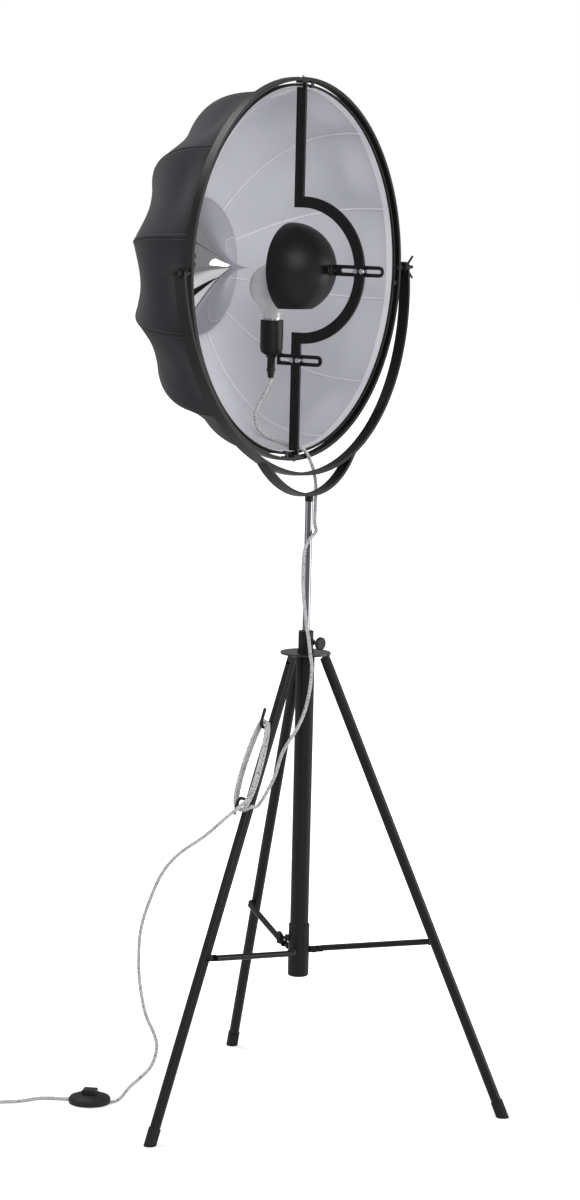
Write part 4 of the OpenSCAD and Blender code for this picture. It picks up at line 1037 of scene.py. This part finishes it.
# %% Spin the cone
CONE_RADIUS, CONE_BASE, CONE_HEIGHT, CONE_WALL = 120, 207, 118, 1.2
CONE_FLARE = 2.6
CONE_STEPS, CONE_AROUND = 90, 144
outside = [(CONE_RADIUS * (1 - k / CONE_STEPS) ** CONE_FLARE,
            CONE_BASE - CONE_HEIGHT * k / CONE_STEPS) for k in range(CONE_STEPS + 1)]
inside = [(r - CONE_WALL, y) for r, y in reversed(outside) if r > 2 * CONE_WALL]
cone = turned("mirror_skin", [(0.0, inside[0][1]), *inside, *outside], CONE_AROUND)
cone.data.materials.append(mirror.material)
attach(cone, "head")
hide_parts("mirror_cone")
print("cone:", CONE_HEIGHT, "mm high")

# %% [markdown]
# ## Dress the rest of the frame
# Every other piece keeps its own shape from the frame and gets the finish of its slot. The
# bolts, clips and pins on the black frame are blackened, and the round plate is the smooth one.

# %% Finish every node
own_finish = dict.fromkeys(("pivot_bolts", "rim_clips", "leg_hinge_pins", "brace_pins"),
                           "dark_metal")
own_finish["top_plate"] = "smooth_black"
for part in frame["record"]["subparts"]:
    node = frame["nodes"][part["node"]]
    node.data.materials.clear()
    finish = own_finish.get(part["node"], part["material_slot"])
    node.data.materials.append(finishes[finish].material)

# %% [markdown]
# ## Studio
# The lamp stands in a white studio, on a pale sheet that takes its shadow. White paper would
# need strong light to look white, and that light would wash the blacks out. So the sheet glows
# by itself, but only for the camera: a little at the feet, where the shadow has to show, and
# fully from about a metre away, so that no horizon is seen.

# %% Floor
FLOOR_HALF, FLOOR_DROP = 30, 0.0005
GLOW_RISE, GLOW_START, GLOW_NEAR = 1.6, 0.5, 0.42
floor = new_mesh("floor", [(x * FLOOR_HALF, y * FLOOR_HALF, -FLOOR_DROP) for x, y in (
    (-1, -1), (1, -1), (1, 1), (-1, 1))], [(0, 1, 2, 3)])
paper = Finish("white_paper", (0.80, 0.80, 0.80), 0.9, Specular_IOR_Level=0.0,
               Emission_Strength=1.0)
seen = Amount(paper, paper.node("ShaderNodeLightPath").outputs["Is Camera Ray"])
from_left, from_front, _ = paper.axes()
away = (from_left * from_left + from_front * from_front) ** 0.5
glow = paper.mixed(GLOW_RISE * away - GLOW_START, (GLOW_NEAR,) * 3, (1.0, 1.0, 1.0))
paper.feed("Emission Color", paper.mixed(seen, (0.0, 0.0, 0.0), glow))
floor.data.materials.append(paper.material)
print("floor:", 2 * FLOOR_HALF, "m wide")

# %% [markdown]
# The world is white where the camera looks at it, while its light on the lamp is weaker and a
# little cooler. Four soft lamps model the form: a key high beside the camera, a wide fill low
# on the right, a weak one on the left that lifts the black cloth off the black ring, and one
# high at the back for the edges.

# %% World and lamps
WORLD_LIGHT = 0.32
world = bpy.data.worlds.new("studio")
world.use_nodes = True
bpy.context.scene.world = world
links, nodes = world.node_tree.links, world.node_tree.nodes
nodes.clear()
looked_at = nodes.new("ShaderNodeLightPath")
mix = nodes.new("ShaderNodeMixShader")
links.new(looked_at.outputs["Is Camera Ray"], mix.inputs[0])
for k, (colour, strength) in enumerate((((0.98, 0.98, 1.0), WORLD_LIGHT), ((1.0, 1.0, 1.0), 1.0))):
    background = nodes.new("ShaderNodeBackground")
    background.inputs[0].default_value = (*colour, 1)
    background.inputs[1].default_value = strength
    links.new(background.outputs[0], mix.inputs[k + 1])
links.new(mix.outputs[0], nodes.new("ShaderNodeOutputWorld").inputs[0])
LAMPS_AIM = Vector((0, 0, 1.1))


def soft_lamp(name, place, size, watts):
    """A square area lamp that looks at the middle of the object."""
    data = bpy.data.lights.new(name, "AREA")
    data.shape, data.size, data.energy = "SQUARE", size, watts
    lamp = bpy.data.objects.new(name, data)
    lamp.location = place
    lamp.rotation_euler = (LAMPS_AIM - Vector(place)).to_track_quat("-Z", "Y").to_euler()
    bpy.context.scene.collection.objects.link(lamp)


soft_lamp("key", (-3.0, -3.2, 3.4), 3.2, 120)
soft_lamp("fill", (2.2, -3.4, 0.9), 3.0, 100)
soft_lamp("side", (-2.7, 1.75, 1.5), 2.0, 14)
soft_lamp("back", (-0.3, 2.3, 4.6), 2.4, 120)
bpy.context.scene.view_settings.view_transform = "Standard"
print("studio: four lamps and a world of", WORLD_LIGHT)
